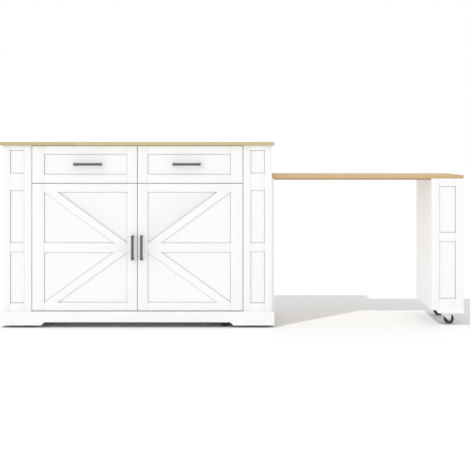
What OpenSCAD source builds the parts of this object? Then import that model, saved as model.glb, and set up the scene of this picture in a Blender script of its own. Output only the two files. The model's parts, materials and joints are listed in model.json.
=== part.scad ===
// Extending kitchen island. A frame-and-panel cabinet with two drawers and two
// braced doors stands on casters. A table slides out of a slot in its right
// side, carried at the outer end by a panelled leg with casters of its own.
// Millimetres. X runs along the front, Y from front to back, Z up from the floor.

/* [Worktop and cabinet] */
// Width of the worktop
top_w = 1350; // [1330:5:1480]
// Depth of the worktop
top_d = 470; // [466:2:540]
// Thickness of the worktop and of the table top
top_t = 17; // [14:1:20]
// Height of the worktop's upper face
top_z = 914; // [905:1:950]
// Overhang of the worktop past the cabinet on every side
overhang = 12; // [9:1:14]
// Thickness of the carcass boards
board_t = 16; // [13:1:18]
// Thickness of the back panel
back_t = 9; // [5:1:12]
// Depth of the two rails under the worktop
top_rail_d = 80; // [50:5:110]
// Rounding of the worktop's and the table's edges
edge_r = 1.5; // [0.8:0.1:2.5]

/* [Doors and drawer fronts] */
// Thickness of the doors and the drawer fronts
face_t = 18; // [17:1:20]
// Gap between two fronts, and between a front and a post
front_gap = 3; // [2:0.5:4]
// Gap that the bumpers hold between a closed front and the carcass
bumper_gap = 1; // [0.8:0.1:1.5]
// Gap between the drawer fronts and the worktop
top_gap = 2; // [1.5:0.5:4]
// Gap between the doors and the plinth
door_low_gap = 4; // [3:0.5:8]
// Height of the drawer fronts
drawer_h = 183; // [181:1:200]
// Width of the stile on the hinge side
stile_outer = 59.5; // [52:0.5:70]
// Width of the stile at the middle of the cabinet
stile_inner = 49.5; // [42:0.5:60]
// Height of a door's top rail
door_top_rail = 42; // [34:1:52]
// Height of a door's middle rail
door_mid_rail = 46; // [36:1:56]
// Height of a door's bottom rail
door_low_rail = 40; // [34:1:52]
// Height of a drawer front's top rail
drawer_top_rail = 41; // [34:1:50]
// Height of a drawer front's bottom rail
drawer_low_rail = 42; // [34:1:50]
// Depth of the panels behind the face of their frames
recess = 6; // [4:0.5:7]
// Thickness of the recessed panels
panel_t = 6; // [4:0.5:7]
// How far a panel reaches into the groove of its frame
groove_d = 8; // [5:0.5:10]
// How far a brace lies behind the face of its frame
brace_in = 1; // [0.5:0.1:2]
// Width of a diagonal brace
brace_w = 38.5; // [30:0.5:48]
// Width of the fine line where a rail meets a stile
joint_line = 1.6; // [1:0.1:2.4]

/* [Posts] */
// Width of the posts beside the doors
post_w = 141; // [136:1:150]
// Width of a post's stiles
post_stile = 36; // [30:1:44]
// Height of a post's top rail
post_top_rail = 24; // [18:1:34]
// Height of a post's rail beside the drawers
post_high_rail = 84; // [70:1:96]
// How far that rail reaches below the gap between drawers and doors
high_rail_drop = 35.3; // [28:0.1:45]
// Height of a post's rail beside the doors' middle rail
post_mid_rail = 42; // [34:1:52]
// Height of the lowest panel's lower edge
post_panel_z = 120; // [110:1:140]
// Height of the middle rails' upper edge, on posts and doors
mid_rail_z = 415.5; // [380:1:450]

/* [Plinth] */
// Height of the plinth's upper edge above the casters' plates
plinth_up = 13; // [11:0.5:16]
// Clearance under the plinth's feet
plinth_z0 = 12; // [8:1:18]
// Height of the bevel along the plinth's upper edge
bevel_h = 13; // [8:1:18]
// Depth of that bevel
bevel_d = 5; // [3:0.5:7]
// Length of a foot at the front
foot_l = 202; // [160:2:240]
// Rise of the plinth's edge between its feet
arch_h = 15.5; // [10:0.5:22]

/* [Casters] */
// Diameter of a wheel
wheel_d = 50; // [44:1:54]
// Width of a wheel
wheel_w = 18; // [14:1:20]
// Height of a caster's plate above its wheel
caster_over = 16; // [15:0.5:18]
// Clearance between the wheels and the lower edges of the side panels
wheel_gap = 4; // [3:0.5:8]
// How far a wheel trails its pivot
trail = 22; // [18:1:24]
// Gap between a wheel that swivels and the plinth's boards
caster_clear = 4; // [3:0.5:8]
// Distance of the left casters' pivots from the cabinet's left side
caster_left_in = 103; // [92:1:140]
// Distance of the right casters' pivots from the cabinet's right side
caster_right_in = 253; // [220:1:290]
// Length of a caster's plate
plate_l = 60; // [52:1:66]
// Width of a caster's plate
plate_w = 46; // [40:1:50]
// Thickness of a caster's plate
plate_t = 2.5; // [2:0.1:3]
// Diameter of the ball race under the plate
race_d = 34; // [30:1:38]
// Height of the ball race
race_h = 5; // [4:0.5:6]
// Running gap above and below the fork's crown
race_gap = 0.3; // [0.2:0.05:0.4]
// Thickness of the fork's crown
crown_t = 2.5; // [2:0.1:3]
// Diameter of the king pin
king_d = 8; // [6:0.5:10]
// Diameter of the king pin's head
king_head_d = 13; // [11:0.5:15]
// Thickness of the king pin's head
king_head_t = 3; // [2:0.5:4]
// Thickness of the fork's cheeks
cheek_t = 2.5; // [2:0.1:3]
// Radius of a cheek's end around the axle
cheek_r = 8; // [7:0.5:9]
// Height of a cheek's brow below the crown
brow_h = 4; // [3:0.5:5]
// How far the brow leans over the wheel
brow_l = 6; // [4:0.5:8]
// Diameter of an axle
axle_d = 6; // [5:0.5:8]
// Width across the corners of an axle's nut
nut_d = 10; // [9:0.5:12]
// Thickness of an axle's nut
nut_t = 3; // [2:0.5:4]
// Gap between the wheel's tyre and the cheeks
cheek_gap = 1.5; // [1.2:0.1:2]
// How far the hub stands out of the wheel
hub_out = 1; // [0.6:0.1:1.1]
// Thickness of the hub's wall
hub_t = 4; // [3:0.5:5]
// Depth of the web between hub and tyre
web_in = 2; // [1:0.5:3]
// Thickness of the tyre
tyre_t = 7; // [5:0.5:9]
// Rounding of the tyre's shoulders
tyre_edge = 2; // [1:0.5:2.5]

/* [Table and leg] */
// Height of the worktop's upper face above the table's
table_drop = 164; // [150:1:178]
// Gap between the table and the back panel
table_back_gap = 8; // [6:1:20]
// Place of the table's front edge behind the cabinet's face
table_in = 33; // [33:1:36]
// Length of the table outside the cabinet when it is pulled out
table_reach = 953; // [900:5:1000]
// Length of the table that stays inside when it is pulled out
table_tail = 163; // [155:1:200]
// Width of the runners under the table
runner_w = 20; // [14:1:30]
// Height of the runners under the table
runner_h = 7; // [6:0.5:8]
// Place of a runner behind the table's edge
runner_in = 20; // [16:1:40]
// Clearance over and beside the table in its slot
slot_gap = 3; // [2:0.5:3]
// Running gap under the runners and the table
slide_gap = 0.3; // [0.2:0.05:0.5]
// Width of the leg
leg_w = 160; // [150:2:180]
// Width of the leg's stiles
leg_stile = 39.5; // [32:0.5:48]
// Thickness of the leg's floor above its casters
leg_floor_t = 15; // [13:0.5:18]
// Distance of the leg's caster pivots from its front and rear faces
leg_caster_in = 75; // [70:1:90]
// Height of the leg's bottom rail
leg_low_rail = 56; // [46:1:66]
// Height of the leg's middle rail
leg_mid_rail = 44; // [36:1:54]
// Height of the leg's top rail
leg_top_rail = 39; // [32:1:48]
// Height of the leg's middle rail above the floor
leg_mid_z = 421; // [400:1:440]
// Height of the strip around the foot of the leg
leg_strip_h = 13; // [10:1:18]
// Height of the bevel along the strip's upper edge
leg_bevel_h = 7.8; // [5:0.2:9]
// How far that strip stands proud
leg_proud = 2; // [1.5:0.5:3]
// Width of the flat above the strip's bevel
leg_lip = 0.2; // [0.1:0.1:0.5]
// How far the leg's skirt hangs below its casters' plates
skirt_drop = 2; // [1:0.5:6]
// Width of the part of the leg that has no skirt, at its inner side
leg_notch = 34; // [26:1:40]
// Thickness of the board that carries the table on the cabinet's side
bearing_t = 12; // [9:1:13]
// Gap between that board and the plinth
bearing_up = 5; // [3:0.5:10]
// Gap between the closed leg and the cabinet
close_gap = 2; // [1.5:0.5:5]

/* [Drawers and slides] */
// Gap between a drawer box and the back panel
box_back_gap = 23; // [18:1:40]
// Gap between a drawer box and the rails under the worktop
box_top_gap = 11; // [6:1:20]
// Thickness of a drawer box's walls
box_t = 12; // [10:1:14]
// Thickness of a drawer's bottom
box_bottom_t = 5; // [3:0.5:6]
// Height of a drawer's bottom above the lower edge of its sides
box_bottom_up = 8; // [5:1:10]
// Gap between a drawer box and the board below it
box_gap = 5; // [4:0.5:7]
// Thickness of the board between the drawers and the table
drawer_deck_t = 12; // [9:1:12]
// Setback of a drawer slide behind the carcass's front edge
slide_in = 4; // [2:0.5:8]
// Gap between a drawer slide and the back panel
slide_back_gap = 34; // [30:1:60]
// Height of a slide's middle above the lower edge of its box
slide_up = 35; // [28:1:42]
// Height of a drawer slide
slide_h = 45; // [40:1:50]
// Width of a drawer slide, closed
slide_w = 13; // [12.5:0.1:14]
// Width of the outer member's flanges
flange_w = 9.1; // [8:0.1:9.5]
// Gap between two members, side by side
slide_play = 0.5; // [0.4:0.1:0.7]
// Gap between the outer and the middle member, above and below
mid_play = 2.5; // [2:0.1:3]
// Gap between the middle and the inner member, above and below
inner_play = 3; // [2:0.1:3.5]
// Thickness of the sheet metal of slides and hinge cups
sheet_t = 1.2; // [1:0.1:1.4]

/* [Pulls and hinges] */
// Length of a drawer pull
drawer_pull_l = 138; // [110:2:160]
// Length of a door pull
door_pull_l = 121.5; // [100:0.5:150]
// Width of a pull's bar
pull_w = 12.5; // [10:0.5:14]
// Thickness of a pull's bar
pull_t = 8; // [6:0.5:10]
// Distance of a pull's outer face from the front
pull_out = 30; // [26:1:36]
// Length of a pull's foot along its bar
pull_foot_l = 10; // [8:0.5:14]
// How far a pull's feet lie inside the edges of its bar
pull_foot_in = 1; // [0.5:0.1:2]
// Shift of a drawer pull from its panel's middle, towards the cabinet's centre
pull_shift = 12; // [0:1:20]
// Distance of a door pull from the cabinet's centre
door_pull_x = 22; // [16:1:30]
// Height of a door pull's middle
door_pull_z = 394; // [350:1:450]
// Diameter of a hinge cup
cup_d = 35; // [35:0.5:36]
// Depth of a hinge cup
cup_depth = 11.5; // [11:0.1:12.5]
// Place of a cup's centre from the door's edge
cup_in = 22.5; // [22:0.5:24]
// Width of a cup's rim
cup_rim = 1.5; // [1:0.1:2]
// Width of a cup's screw wings
wing_w = 12; // [10:0.5:14]
// Distance of a wing's screw from the cup's centre
wing_reach = 29.5; // [26:0.5:32]
// Gap between a cup's rim and the carcass
wing_gap = 0.2; // [0.1:0.05:0.3]
// Distance of a hinge from the door's top or bottom
hinge_end = 90; // [70:1:120]
// Height of a hinge's arm
arm_w = 12; // [10:0.5:14]
// Thickness of an arm beside its plate
arm_t = 11; // [9:0.5:13]
// Length of an arm inside the cabinet
arm_l = 50; // [42:1:56]
// Gap between an arm and the door's back edge
arm_gap = 0.5; // [0.3:0.1:0.8]
// Thickness of the arm's crank
crank_t = 5; // [4:0.5:6]
// Length of the arm's slope behind the crank
crank_l = 14; // [11:0.5:16]
// Width of the arm's tip in the cup
tip_w = 8; // [6:0.5:9]
// Distance of the tip's outer edge from the cup's centre
tip_out = 4.5; // [4:0.1:5.5]
// Gap between the tip and the cup's floor
tip_gap = 3.3; // [2.5:0.1:4]
// Thickness of an arm's mounting plate
hinge_plate_t = 2; // [1.5:0.1:2.5]
// Length of a mounting plate
hinge_plate_l = 46; // [40:1:50]
// Height of a mounting plate
hinge_plate_h = 44; // [38:1:50]
// Setback of a mounting plate behind the start of its arm
hinge_plate_in = 9; // [6:0.5:12]

/* [Shelves] */
// Height of the shelves' upper face
shelf_z = 411; // [350:1:450]
// Setback of a shelf behind the carcass's front edge
shelf_in = 24; // [10:1:40]
// Diameter of a shelf pin
pin_d = 5; // [4:0.5:6]
// Depth of a shelf pin's hole
pin_hole = 9; // [7:0.5:10]
// How far a shelf pin stands out of its hole
pin_out = 8; // [6:0.5:10]
// Pitch of the shelf pin holes
pin_pitch = 32; // [25:1:40]
// Distance of the front pins behind the shelf's front edge
pin_front_in = 50; // [30:1:80]
// Distance of the rear pins from the back panel
pin_rear_in = 60; // [40:1:80]

/* [Hidden] */
$fn = 48;
paint = [0.96, 0.96, 0.95];
oak = [0.85, 0.72, 0.5];
gunmetal = [0.38, 0.38, 0.39];
steel = [0.7, 0.71, 0.73];
rubber = [0.1, 0.1, 0.1];
// Play of a panel in its groove, of a pin in its hole and of a part that is
// screwed to another
fit = 0.1;
// Play that makes a cut run clean through a face
past = 1;

// Cabinet, from its own centre
half_w = top_w / 2 - overhang;
face_y = -top_d / 2 + overhang;
rear_y = -face_y;
carcass_y = face_y + face_t + bumper_gap;
inner_rear_y = rear_y - back_t;
carcass_d = inner_rear_y - carcass_y;
carcass_z1 = top_z - top_t;
caster_h = wheel_d + caster_over;
floor_z = caster_h + board_t;
plinth_z1 = caster_h + plinth_up;
bay = half_w - post_w;
partition_x = bay - board_t / 2;
base_z = wheel_d + wheel_gap;

// Fronts
drawer_z1 = carcass_z1 - top_gap;
drawer_z0 = drawer_z1 - drawer_h;
door_z1 = drawer_z0 - front_gap;
door_z0 = plinth_z1 + door_low_gap;
front_w = bay - 1.5 * front_gap;
front_x = front_gap / 2 + front_w;
window_x = front_x - stile_outer;
window_w = front_w - stile_outer - stile_inner;
mid_rail_low = mid_rail_z - door_mid_rail - door_z0;
door_rails = [[0, door_low_rail], [mid_rail_low, mid_rail_low + door_mid_rail],
    [door_z1 - door_z0 - door_top_rail, door_z1 - door_z0]];
drawer_rails = [[0, drawer_low_rail], [drawer_h - drawer_top_rail, drawer_h]];

// Posts, whose rails line up with the fronts beside them
post_h = carcass_z1 - base_z;
high_rail_z = drawer_z0 - front_gap / 2 - high_rail_drop - base_z;
post_rails = [[0, post_panel_z - base_z],
    [mid_rail_z - post_mid_rail - base_z, mid_rail_z - base_z],
    [high_rail_z, high_rail_z + post_high_rail],
    [post_h - post_top_rail, post_h]];

// Table, its slot and the boards above and below it
table_z = top_z - table_drop;
table_z0 = table_z - top_t;
table_y0 = face_y + table_in;
table_y1 = inner_rear_y - table_back_gap;
table_x0 = half_w - table_tail;
table_x1 = half_w + table_reach;
runner_z0 = table_z0 - runner_h;
deck_z1 = runner_z0 - slide_gap;
slot_z1 = table_z + slot_gap;
deck_y0 = table_y0 - slot_gap;
leg_x0 = table_x1 - leg_w;
side_out_x = half_w + overhang;
table_travel = leg_x0 - leg_proud - side_out_x - close_gap;
runner_ys = [table_y0 + runner_in, table_y1 - runner_in - runner_w];

// Leg
leg_z0 = caster_h + leg_floor_t;
skirt_z0 = caster_h - skirt_drop;
leg_h = table_z0 - leg_z0;
leg_mid_low = leg_mid_z - leg_z0;
leg_rails = [[0, leg_low_rail], [leg_mid_low, leg_mid_low + leg_mid_rail],
    [leg_h - leg_top_rail, leg_h]];

// Drawers and slides
box_z0 = slot_z1 + drawer_deck_t + box_gap;
box_h = carcass_z1 - board_t - box_top_gap - box_z0;
box_l = inner_rear_y - face_y - face_t - box_back_gap;
box_x0 = board_t / 2 + slide_w;
box_w = partition_x - slide_w - box_x0;
slide_y0 = carcass_y + slide_in;
slide_l = inner_rear_y - slide_back_gap - slide_y0;
slide_mid_z = box_z0 + slide_up;
mid_x = sheet_t + slide_play;
mid_h = slide_h - 2 * (sheet_t + mid_play);
inner_h = mid_h - 2 * (sheet_t + inner_play);
inner_w = slide_w - mid_x - sheet_t - slide_play;

// Hinges, and the shelf pins
hinge_zs = [door_z0 + hinge_end, door_z1 - hinge_end];
wing_t = bumper_gap - wing_gap;
pin_ys = [carcass_y + shelf_in + pin_front_in, inner_rear_y - pin_rear_in];
pin_z = shelf_z - board_t - pin_d / 2;

// Casters, whose wheels swing round their pivots
swing_r = trail + wheel_d / 2;
caster_in = overhang + swing_r + caster_clear;
caster_ys = [-top_d / 2 + caster_in, top_d / 2 - caster_in];
caster_left_x = caster_left_in - half_w;
caster_right_x = half_w - caster_right_in;
leg_caster_x = leg_x0 + leg_w / 2;
leg_caster_ys = [table_y0 + leg_caster_in, table_y1 - leg_caster_in];
race_z0 = caster_h - plate_t - race_h;
crown_z0 = race_z0 - race_gap - crown_t;
king_z0 = crown_z0 - race_gap - king_head_t;
cheek_y = wheel_w / 2 + cheek_gap;
// Play of an axle in its wheel and of a king pin in its fork
run_fit = 0.05;

// Middle of the whole object with the table out, which is the origin
origin_x = (table_x1 + leg_proud - top_w / 2) / 2;
origin_y = (face_y - pull_out + top_d / 2) / 2;

module in_frame() {
    translate([-origin_x, -origin_y, 0]) children();
}

module mirrored() {
    mirror([1, 0, 0]) children();
}

// A board between two opposite corners
module board(a, b) {
    translate(a) cube(b - a);
}

// A board with its four long upper and lower front edges rounded, along X
module eased_board(a, b, r) {
    d = b.y - a.y;
    t = b.z - a.z;
    translate([a.x, a.y, a.z]) rotate([90, 0, 90]) linear_extrude(b.x - a.x) {
        translate([r, 0]) square([d - 2 * r, t]);
        translate([0, r]) square([d, t - 2 * r]);
        for (y = [r, d - r], z = [r, t - r]) translate([y, z]) circle(r);
    }
}

// Frame of stiles and rails, its face at Y = 0, its outer stile at X = 0.
// rails holds the bottom and the top of each rail, from the lowest up.
module stile_frame(w, h, t, outer, inner, rails) {
    inside = w - outer - inner;
    difference() {
        cube([w, t, h]);
        for (i = [0 : len(rails) - 2]) {
            z0 = rails[i][1];
            z1 = rails[i + 1][0];
            translate([outer, -past, z0]) cube([inside, t + 2 * past, z1 - z0]);
            translate([outer - groove_d, recess, z0 - groove_d])
                cube([inside + 2 * groove_d, panel_t + fit, z1 - z0 + 2 * groove_d]);
        }
        for (rail = rails, x = [outer, w - inner])
            joint_groove(x, rail[0], rail[1]);
    }
}

// Fine V groove where a rail meets a stile
module joint_groove(x, z0, z1) {
    translate([x, 0, z0 - past]) linear_extrude(z1 - z0 + 2 * past)
        rotate(45) square(joint_line / sqrt(2), center = true);
}

// Panels that fill the openings of the same frame, with play in the groove
module frame_panels(w, outer, inner, rails) {
    reach = groove_d - fit;
    for (i = [0 : len(rails) - 2]) {
        z0 = rails[i][1];
        z1 = rails[i + 1][0];
        translate([outer - reach, recess, z0 - reach])
            cube([w - outer - inner + 2 * reach, panel_t, z1 - z0 + 2 * reach]);
    }
}

// ---------------------------------------------------------------- cabinet

module worktop() {
    color(oak) in_frame()
        eased_board([-top_w / 2, -top_d / 2, carcass_z1],
            [top_w / 2, top_d / 2, top_z], edge_r);
}

module side_board(z0, z1) {
    board([half_w - board_t, carcass_y, z0], [half_w, rear_y, z1]);
}

module side_panel_left() {
    color(paint) in_frame() mirrored() side_board(base_z, carcass_z1);
}

// In two boards, with the table's slot between them
module side_panel_right() {
    color(paint) in_frame() {
        side_board(base_z, deck_z1);
        side_board(slot_z1, carcass_z1);
    }
}

// Tenon that closes one end of the slot in the right side
module slot_tenon(y0, y1) {
    board([partition_x, y0, deck_z1], [half_w, y1, slot_z1]);
}

// Two rows of three holes for the shelf pins, front and rear
module pin_holes(x, way) {
    for (y = pin_ys, i = [-1, 0, 1])
        translate([x, y, pin_z + pin_pitch * i]) rotate([0, 90 * way, 0])
            cylinder(h = pin_hole, d = pin_d + 2 * fit);
}

module bay_partition(z0, z1) {
    difference() {
        board([partition_x, carcass_y, z0], [partition_x + board_t, inner_rear_y, z1]);
        pin_holes(partition_x, 1);
    }
}

// The right one is in two, below the table's deck and above the drawers' deck
module bay_partitions() {
    color(paint) in_frame() {
        mirrored() bay_partition(floor_z, carcass_z1);
        bay_partition(floor_z, deck_z1 - board_t);
        bay_partition(slot_z1 + drawer_deck_t, carcass_z1);
    }
}

module centre_partitions() {
    color(paint) in_frame() {
        difference() {
            board([-board_t / 2, carcass_y, floor_z],
                [board_t / 2, inner_rear_y, deck_z1 - board_t]);
            pin_holes(board_t / 2, -1);
            mirrored() pin_holes(board_t / 2, -1);
        }
        board([-board_t / 2, carcass_y, slot_z1 + drawer_deck_t],
            [board_t / 2, inner_rear_y, carcass_z1 - board_t]);
    }
}

module post_at() {
    translate([-half_w, face_y, base_z]) children();
}

module post_frame() {
    post_at() stile_frame(post_w, post_h, face_t + bumper_gap,
        post_stile, post_stile, post_rails);
}

module post_frame_left() {
    color(paint) in_frame() post_frame();
}

module post_frame_right() {
    color(paint) in_frame() mirrored() post_frame();
}

module post_panel_set() {
    post_at() frame_panels(post_w, post_stile, post_stile, post_rails);
}

module post_panels() {
    color(paint) in_frame() {
        post_panel_set();
        mirrored() post_panel_set();
    }
}

module back_panel() {
    color(paint) in_frame() {
        board([board_t - half_w, inner_rear_y, caster_h],
            [half_w - board_t, rear_y, carcass_z1]);
        slot_tenon(inner_rear_y, rear_y);
    }
}

module floor_panel() {
    color(paint) in_frame()
        board([board_t - half_w, carcass_y, caster_h],
            [half_w - board_t, inner_rear_y, floor_z]);
}

module table_deck() {
    color(paint) in_frame()
        board([-partition_x, deck_y0, deck_z1 - board_t],
            [half_w - board_t, inner_rear_y, deck_z1]);
}

module drawer_deck() {
    color(paint) in_frame()
        board([-partition_x, deck_y0, slot_z1],
            [half_w - board_t, inner_rear_y, slot_z1 + drawer_deck_t]);
}

// Front rail that hides the table's slot, and two rails under the worktop
module cross_rails() {
    color(paint) in_frame() {
        board([-partition_x, carcass_y, deck_z1 - board_t],
            [half_w - board_t, deck_y0, slot_z1 + drawer_deck_t]);
        slot_tenon(carcass_y, deck_y0);
        for (y = [carcass_y, inner_rear_y - top_rail_d])
            board([-partition_x, y, carcass_z1 - board_t],
                [partition_x, y + top_rail_d, carcass_z1]);
    }
}

module shelf() {
    board([board_t / 2 + slide_gap, carcass_y + shelf_in, shelf_z - board_t],
        [partition_x - slide_gap, inner_rear_y - slide_gap, shelf_z]);
}

module shelves() {
    color(paint) in_frame() {
        shelf();
        mirrored() shelf();
    }
}

// Pins in the middle hole of each row, under the shelf
module shelf_pin_set() {
    for (y = pin_ys) {
        translate([board_t / 2 - pin_hole + past, y, pin_z])
            rotate([0, 90, 0]) cylinder(h = pin_hole - past + pin_out, d = pin_d);
        translate([partition_x - pin_out, y, pin_z])
            rotate([0, 90, 0]) cylinder(h = pin_hole - past + pin_out, d = pin_d);
    }
}

module shelf_pins() {
    color(steel) in_frame() {
        shelf_pin_set();
        mirrored() shelf_pin_set();
    }
}

// ----------------------------------------------------------------- plinth

// Outline of a block h high that is bevelled along both upper edges
module bevelled_outline(a, b, h, bevel_in, bevel_up) {
    polygon([[a, 0], [b, 0], [b, h - bevel_up], [b - bevel_in, h],
        [a + bevel_in, h], [a, h - bevel_up]]);
}

// Block whose upper edges are bevelled all round, with mitred corners
module bevelled_block(a, b, bevel_in, bevel_up) {
    h = b.z - a.z;
    translate([0, 0, a.z]) intersection() {
        translate([a.x, 0, 0]) rotate([90, 0, 90]) linear_extrude(b.x - a.x)
            bevelled_outline(a.y, b.y, h, bevel_in, bevel_up);
        translate([0, b.y, 0]) rotate([90, 0, 0]) linear_extrude(b.y - a.y)
            bevelled_outline(a.x, b.x, h, bevel_in, bevel_up);
    }
}

module plinth_block() {
    bevelled_block([-side_out_x, -top_d / 2, plinth_z0],
        [side_out_x, top_d / 2, plinth_z1], bevel_d, bevel_h);
}

// Raised edge between the feet, with a slope at 45 degrees at each end
module plinth_arch() {
    foot_x = side_out_x - foot_l;
    translate([0, face_y + past, plinth_z0]) rotate([90, 0, 0])
        linear_extrude(overhang + 2 * past)
        polygon([[-foot_x - past, -past], [foot_x + past, -past],
            [foot_x - arch_h, arch_h], [arch_h - foot_x, arch_h]]);
}

// The front board, with the rail behind it that the floor's edge rests against
module plinth_front() {
    color(paint) in_frame() {
        difference() {
            intersection() {
                plinth_block();
                board([-side_out_x, -top_d / 2, plinth_z0],
                    [side_out_x, face_y, plinth_z1]);
            }
            plinth_arch();
        }
        board([-bay, face_y, base_z], [bay, carcass_y, plinth_z1]);
    }
}

// The two side boards and the rear board
module plinth_returns() {
    color(paint) in_frame() difference() {
        plinth_block();
        board([-side_out_x - past, -top_d / 2 - past, 0],
            [side_out_x + past, face_y, plinth_z1 + past]);
        board([-half_w, face_y - past, 0], [half_w, rear_y, plinth_z1 + past]);
    }
}

// Board on the cabinet's right side that the table slides over
module bearing_board() {
    color(paint) in_frame() difference() {
        board([half_w, table_y0, plinth_z1 + bearing_up],
            [half_w + bearing_t, table_y1, table_z0 - slide_gap]);
        for (y = runner_ys)
            board([half_w - past, y - slot_gap / 2, deck_z1],
                [half_w + bearing_t + past, y + runner_w + slot_gap / 2, table_z0]);
    }
}

// ------------------------------------------------------------ door hinges

// Place on a left door, from its outer front edge
module on_left_door(z) {
    translate([-front_x, face_y, z]) children();
}

// Cranked arm on its plate, whose tip reaches into the cup of a closed door
module hinge_arm() {
    side_x = front_x - partition_x;
    root_x = side_x + hinge_plate_t;
    tip_x = cup_in - tip_out;
    near_y = face_t + bumper_gap + arm_gap;
    tip_y = face_t - cup_depth + sheet_t + tip_gap;
    translate([0, 0, -arm_w / 2]) linear_extrude(arm_w)
        polygon([[root_x, near_y + arm_l], [root_x, near_y], [tip_x, near_y],
            [tip_x, tip_y], [tip_x + tip_w, tip_y], [tip_x + tip_w, near_y + crank_t],
            [root_x + arm_t, near_y + crank_l], [root_x + arm_t, near_y + arm_l]]);
    translate([side_x, near_y + hinge_plate_in, -hinge_plate_h / 2])
        cube([hinge_plate_t, hinge_plate_l, hinge_plate_h]);
}

module hinge_arm_set() {
    for (z = hinge_zs) on_left_door(z) hinge_arm();
}

module hinge_arms() {
    color(steel) in_frame() {
        hinge_arm_set();
        mirrored() hinge_arm_set();
    }
}

module hinge_bores() {
    for (z = hinge_zs) on_left_door(z)
        translate([cup_in, face_t - cup_depth - fit, 0]) rotate([-90, 0, 0])
            cylinder(h = cup_depth + fit + past, d = cup_d + 2 * fit);
}

// Pressed cup with a rim and two screw wings on the door's back
module hinge_cup() {
    translate([cup_in, face_t, 0]) rotate([90, 0, 0]) difference() {
        union() {
            cylinder(h = cup_depth, d = cup_d);
            translate([0, 0, -wing_t]) cylinder(h = wing_t, d = cup_d + 2 * cup_rim);
            for (way = [0, 1]) mirror([0, way, 0]) {
                translate([-wing_w / 2, 0, -wing_t]) cube([wing_w, wing_reach, wing_t]);
                translate([0, wing_reach, -wing_t]) cylinder(h = wing_t, d = wing_w);
            }
        }
        translate([0, 0, -wing_t - past])
            cylinder(h = wing_t + past + cup_depth - sheet_t, d = cup_d - 2 * sheet_t);
    }
}

module hinge_cup_set() {
    for (z = hinge_zs) on_left_door(z) hinge_cup();
}

// ------------------------------------------------------------------ doors

module door_frame() {
    difference() {
        on_left_door(door_z0) stile_frame(front_w, door_z1 - door_z0, face_t,
            stile_outer, stile_inner, door_rails);
        hinge_bores();
    }
}

module door_panel() {
    on_left_door(door_z0)
        frame_panels(front_w, stile_outer, stile_inner, door_rails);
}

// Outline of a brace from the outer top corner of an opening w by h down to
// its inner bottom corner
module brace_outline(w, h) {
    slope = atan(h / w) + asin(brace_w / sqrt(w * w + h * h));
    polygon([[0, h], [brace_w / sin(slope), h], [w, 0], [h / tan(slope), 0]]);
}

// One brace in each opening, mirrored about the middle rail
module door_braces() {
    upper_z = door_rails[1][1];
    upper_h = door_rails[2][0] - upper_z;
    lower_h = door_rails[1][0] - door_low_rail;
    on_left_door(door_z0) translate([stile_outer, recess, 0]) {
        translate([0, 0, upper_z]) rotate([90, 0, 0])
            linear_extrude(recess - brace_in) brace_outline(window_w, upper_h);
        translate([0, 0, door_rails[1][0]]) mirror([0, 0, 1]) rotate([90, 0, 0])
            linear_extrude(recess - brace_in) brace_outline(window_w, lower_h);
    }
}

// Bar pull: its bar along Z, the feet that it is screwed to reaching back to Y = 0
module pull(l) {
    translate([-pull_w / 2, -pull_out, -l / 2]) cube([pull_w, pull_t, l]);
    pull_feet(l, fit + pull_t - pull_out, 0);
}

// The two feet of a bar, between two depths
module pull_feet(l, y0, y1) {
    for (way = [0, 1]) mirror([0, 0, way])
        board([pull_foot_in - pull_w / 2, y0, pull_foot_in - l / 2],
            [pull_w / 2 - pull_foot_in, y1, pull_foot_in + pull_foot_l - l / 2]);
}

module door_pull() {
    translate([-door_pull_x, face_y, door_pull_z]) pull(door_pull_l);
}

module door_left_frame() {
    color(paint) in_frame() door_frame();
}

module door_left_panel() {
    color(paint) in_frame() door_panel();
}

module door_left_braces() {
    color(paint) in_frame() door_braces();
}

module door_left_pull() {
    color(gunmetal) in_frame() door_pull();
}

module door_left_cups() {
    color(steel) in_frame() hinge_cup_set();
}

module door_right_frame() {
    color(paint) in_frame() mirrored() door_frame();
}

module door_right_panel() {
    color(paint) in_frame() mirrored() door_panel();
}

module door_right_braces() {
    color(paint) in_frame() mirrored() door_braces();
}

module door_right_pull() {
    color(gunmetal) in_frame() mirrored() door_pull();
}

module door_right_cups() {
    color(steel) in_frame() mirrored() hinge_cup_set();
}

// ---------------------------------------------------------------- drawers

// Frame and panel of a drawer front
module drawer_front() {
    on_left_door(drawer_z0) {
        stile_frame(front_w, drawer_h, face_t, stile_outer, stile_inner, drawer_rails);
        frame_panels(front_w, stile_outer, stile_inner, drawer_rails);
    }
}

// Four walls and a raised bottom, fixed to the back of the front
module drawer_box() {
    a = [-box_x0 - box_w, face_y + face_t, box_z0];
    translate(a) difference() {
        cube([box_w, box_l, box_h]);
        translate([box_t, box_t, box_bottom_up + box_bottom_t])
            cube([box_w - 2 * box_t, box_l - 2 * box_t, box_h]);
        translate([box_t, box_t, -past])
            cube([box_w - 2 * box_t, box_l - 2 * box_t, box_bottom_up + past]);
    }
}

module drawer_pull() {
    panel_mid = window_x - window_w / 2;
    panel_z = drawer_z0 + (drawer_low_rail + drawer_h - drawer_top_rail) / 2;
    translate([pull_shift - panel_mid, face_y + recess, panel_z])
        rotate([0, 90, 0]) pull_on_panel();
}

// The drawer pull stands on the recessed panel, so its feet are longer
module pull_on_panel() {
    translate([0, -recess, 0]) pull(drawer_pull_l);
    pull_feet(drawer_pull_l, -recess, 0);
}

// Channel of sheet metal along Y, its web at X = 0, its flanges towards +X
module channel(h, w, l) {
    translate([0, 0, -h / 2]) difference() {
        cube([w, l, h]);
        translate([sheet_t, -past, sheet_t])
            cube([w, l + 2 * past, h - 2 * sheet_t]);
    }
}

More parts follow.
